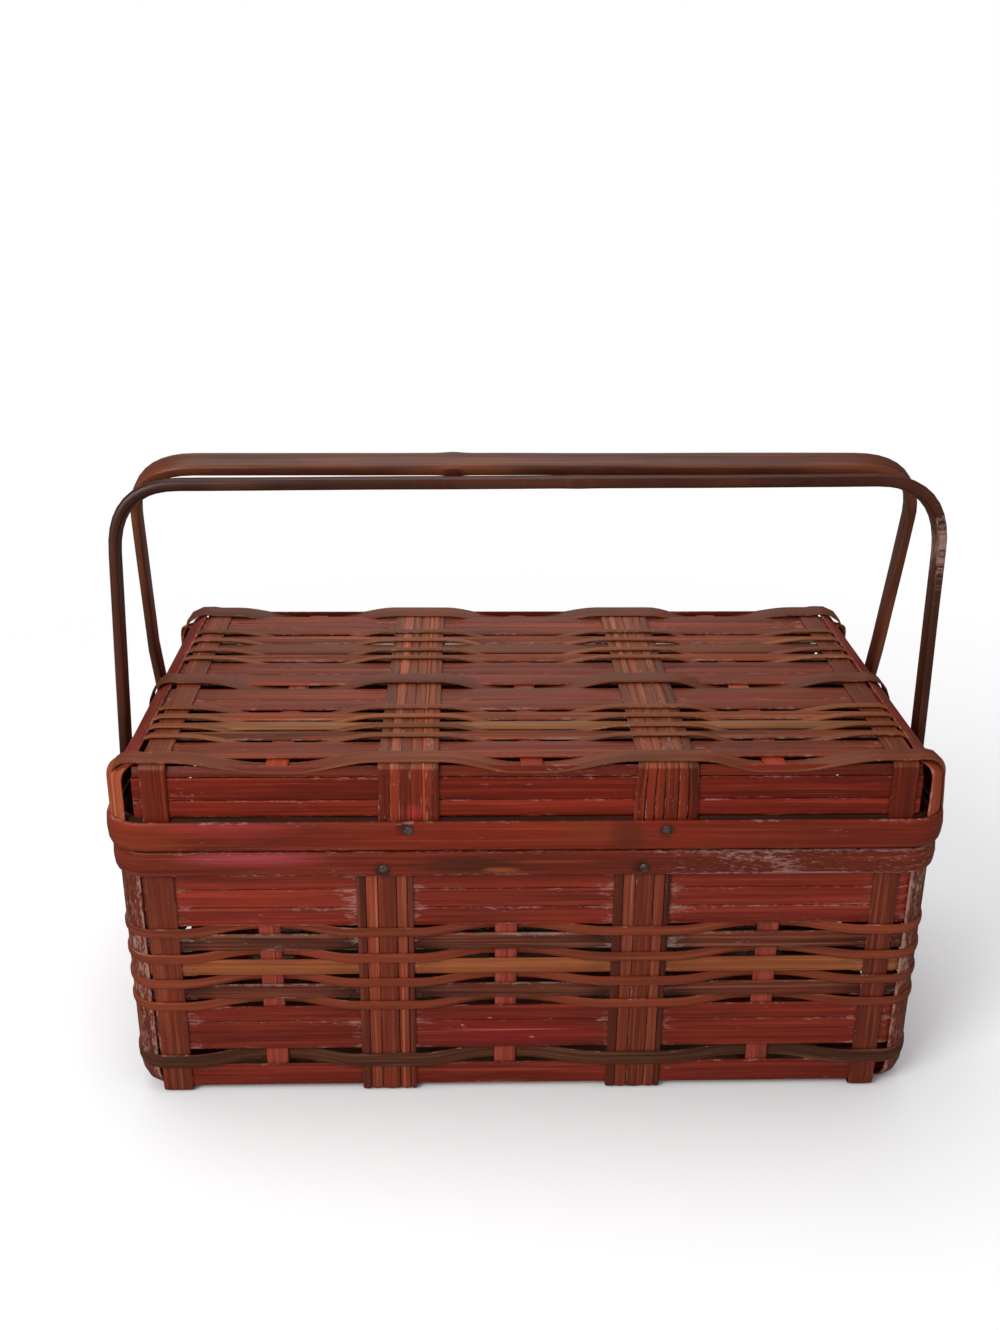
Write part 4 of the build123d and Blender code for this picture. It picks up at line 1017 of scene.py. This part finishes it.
def handle_strip(pivot_y, bar_y, bar_rise, leg_x, straight, spread, bulges, half_bar, lift, worn=(), **more):
    """Spread is how far the bar's ends stand out from the legs, left and right; lift is how far up."""
    reach = math.hypot(bar_y - pivot_y, bar_rise)
    lean = ((bar_y - pivot_y) / reach, bar_rise / reach)
    flat = bent_path([(-leg_x, -6.4), (-leg_x, straight), (-leg_x - spread[0], reach + lift[0]),
                      (leg_x + spread[1], reach + lift[1]), (leg_x, straight), (leg_x, -6.4)], HANDLE_BEND, step=2.5)
    ends = np.array([[-leg_x, -5.9 + 0.9 * i] for i in range(6)])
    flat = np.vstack([flat[:1], ends, flat[flat[:, 1] > -1.0], ends[::-1] * [-1, 1], flat[-1:]])
    outs = [(-o[0], -o[1]) for o in outward(flat)]
    run = distance_along(flat)
    from_end = np.minimum(run, run[-1] - run)
    high = np.clip((flat[:, 1] - reach + 30) / 25, 0, 1)
    rounding = np.clip(1 - (np.clip(LEG_HALF - from_end, 0, LEG_HALF) / LEG_HALF) ** 2, 0.06, 1)
    half_w = (LEG_HALF + (half_bar - LEG_HALF) * high) * np.sqrt(rounding)
    thick = 2.1 + 0.6 * high
    for x, size, wide in bulges:
        near = np.exp(-((flat[:, 0] - x) / wide) ** 2) * (flat[:, 1] > reach - 15)
        half_w = half_w + size * near
        thick = thick + 0.35 * size * near
    burnt = 0.75 * np.clip(1.3 - flat[:, 1] / 32.0, 0, 1)
    rub = np.zeros(len(flat))
    for x, v, size in worn:
        rub += 1.5 * np.exp(-((flat[:, 0] - x) / 14) ** 2 - ((flat[:, 1] - v) / size) ** 2)
    points = [(u, pivot_y + v * lean[0], PIVOT_Z + v * lean[1]) for u, v in flat]
    facing = [(o[0], o[1] * lean[0], o[1] * lean[1]) for o in outs]
    return strip(points, facing, half_w, thick, rub=rub, shade=burnt, **more)


front = handle_strip(-34.01, -6.745, 150.4, 193.0, 9.0, (0.4, 7.0), [(25.0, 0.5, 6.0)], 5.75, (-0.6, 2.2),
                     worn=[(199.0, 124.0, 17.0)], tint=(0.85, 0.85, 0.85))
back = handle_strip(66.025, 6.84, 156.2, 193.9, 52.0, (-6.9, -2.9), [(-34.0, 0.7, 5.0)], 6.7, (0.3, 1.4),
                    tint=(1.3, 1.35, 1.35))
HANDLE_LOOK = {"crown": 0.25, "edge_roundness": 0.38, "points_round": 24, "width_change": 0.02, "waviness": 0.0003,
               "wave_length": 0.08}
weave("front_bail_bamboo", [front], pole, "front_bail", ["front_handle"], "handle_bamboo", **HANDLE_LOOK)
weave("back_bail_bamboo", [back], pole, "back_bail", ["back_handle"], "handle_bamboo", **HANDLE_LOOK)

# %% [markdown]
# ## Floor, light and camera
# The basket stands on a plain pale floor in soft light, as in a studio. The camera stands close in
# front, above the lid, and looks down by about 22 degrees.

# %% Floor and backdrop
def pale_floor():
    """Matt near the basket, so that it keeps the shadow, and plain white further away."""
    material, tree, skin = shader_start("Pale floor")
    put(skin, Base_Color=(0.86, 0.86, 0.86, 1.0), Roughness=0.95, Specular_IOR_Level=0.05)
    reach = node(tree, "ShaderNodeVectorMath", operation="LENGTH")
    wire(own_place(tree), reach.inputs[0])
    both = mix_shader(band(reach.outputs["Value"], 0.32, 0.75), skin.outputs[0], emission(tree, 1.0))
    glossy = node(tree, "ShaderNodeLightPath").outputs["Is Glossy Ray"]
    kept = mix_shader(glossy, both, emission(tree, 0.12))
    wire(kept, tree.nodes["Material Output"].inputs["Surface"])
    return material


floor_mesh = bpy.data.meshes.new("floor")
floor_mesh.from_pydata([(-8, -8, 0), (8, -8, 0), (8, 8, 0), (-8, 8, 0)], [], [(0, 1, 2, 3)])
floor_mesh.materials.append(pale_floor())
floor = new_object("floor", floor_mesh)
print("floor at height 0")

# %% Light
def soft_light(name, place, target, size, watts):
    data = bpy.data.lights.new(name, "AREA")
    data.shape = "DISK"
    data.size = size
    data.energy = watts
    lamp = new_object(name, data)
    lamp.location = place
    lamp.rotation_euler = (Vector(target) - Vector(place)).to_track_quat("-Z", "Y").to_euler()


soft_light("key", (-0.72, -0.85, 0.85), (-0.02, -0.05, 0.1), 0.7, 11.5)
soft_light("fill", (1.5, -1.4, 0.9), (0, 0, 0.1), 1.6, 2.5)
soft_light("top", (-0.1, 0.35, 1.8), (0, 0, 0.15), 1.5, 14)
soft_light("back", (0.0, 1.9, 1.05), (0, 0, 0.15), 1.5, 4)
world = bpy.data.worlds.new("Soft surroundings")
bpy.context.scene.world = world
world.use_nodes = True
sky = world.node_tree
seen = sky.nodes["Background"]
put(seen, Color=(1.0, 1.0, 1.0, 1.0))
ambient = node(sky, "ShaderNodeBackground")
rays = node(sky, "ShaderNodeLightPath").outputs
wire(mix_colour(rays["Is Glossy Ray"], (0.55, 0.55, 0.56), (0.12, 0.12, 0.12)), ambient.inputs["Color"])
either = mix_shader(rays["Is Camera Ray"], ambient.outputs[0], seen.outputs[0])
wire(either, sky.nodes["World Output"].inputs["Surface"])
print("four soft lights and a pale surrounding")

# %% Camera
FOCAL_PIXELS, PICTURE_HEIGHT, SENSOR = 1347.24, 1330, 24.0
camera_data = bpy.data.cameras.new("camera")
camera_data.sensor_fit = "VERTICAL"
camera_data.sensor_height = SENSOR
camera_data.lens = FOCAL_PIXELS / PICTURE_HEIGHT * SENSOR
camera_data.clip_start = 0.01
camera = new_object("camera", camera_data)
pitch, yaw, roll = math.radians(21.672), math.radians(1.551), math.radians(0.455)
ahead = Vector((math.sin(yaw) * math.cos(pitch), math.cos(yaw) * math.cos(pitch), -math.sin(pitch)))
right = Vector((math.cos(yaw), -math.sin(yaw), 0.0))
over = right.cross(ahead)
level, upright = (right * math.cos(roll) + over * math.sin(roll), over * math.cos(roll) - right * math.sin(roll))
turn = Matrix((level, upright, -ahead)).transposed()
camera.matrix_world = Matrix.Translation((-0.02793, -0.62716, 0.43205)) @ turn.to_4x4()
bpy.context.scene.camera = camera
bpy.context.scene.view_settings.view_transform = "Standard"
print("camera lens", round(camera_data.lens, 2), "mm")
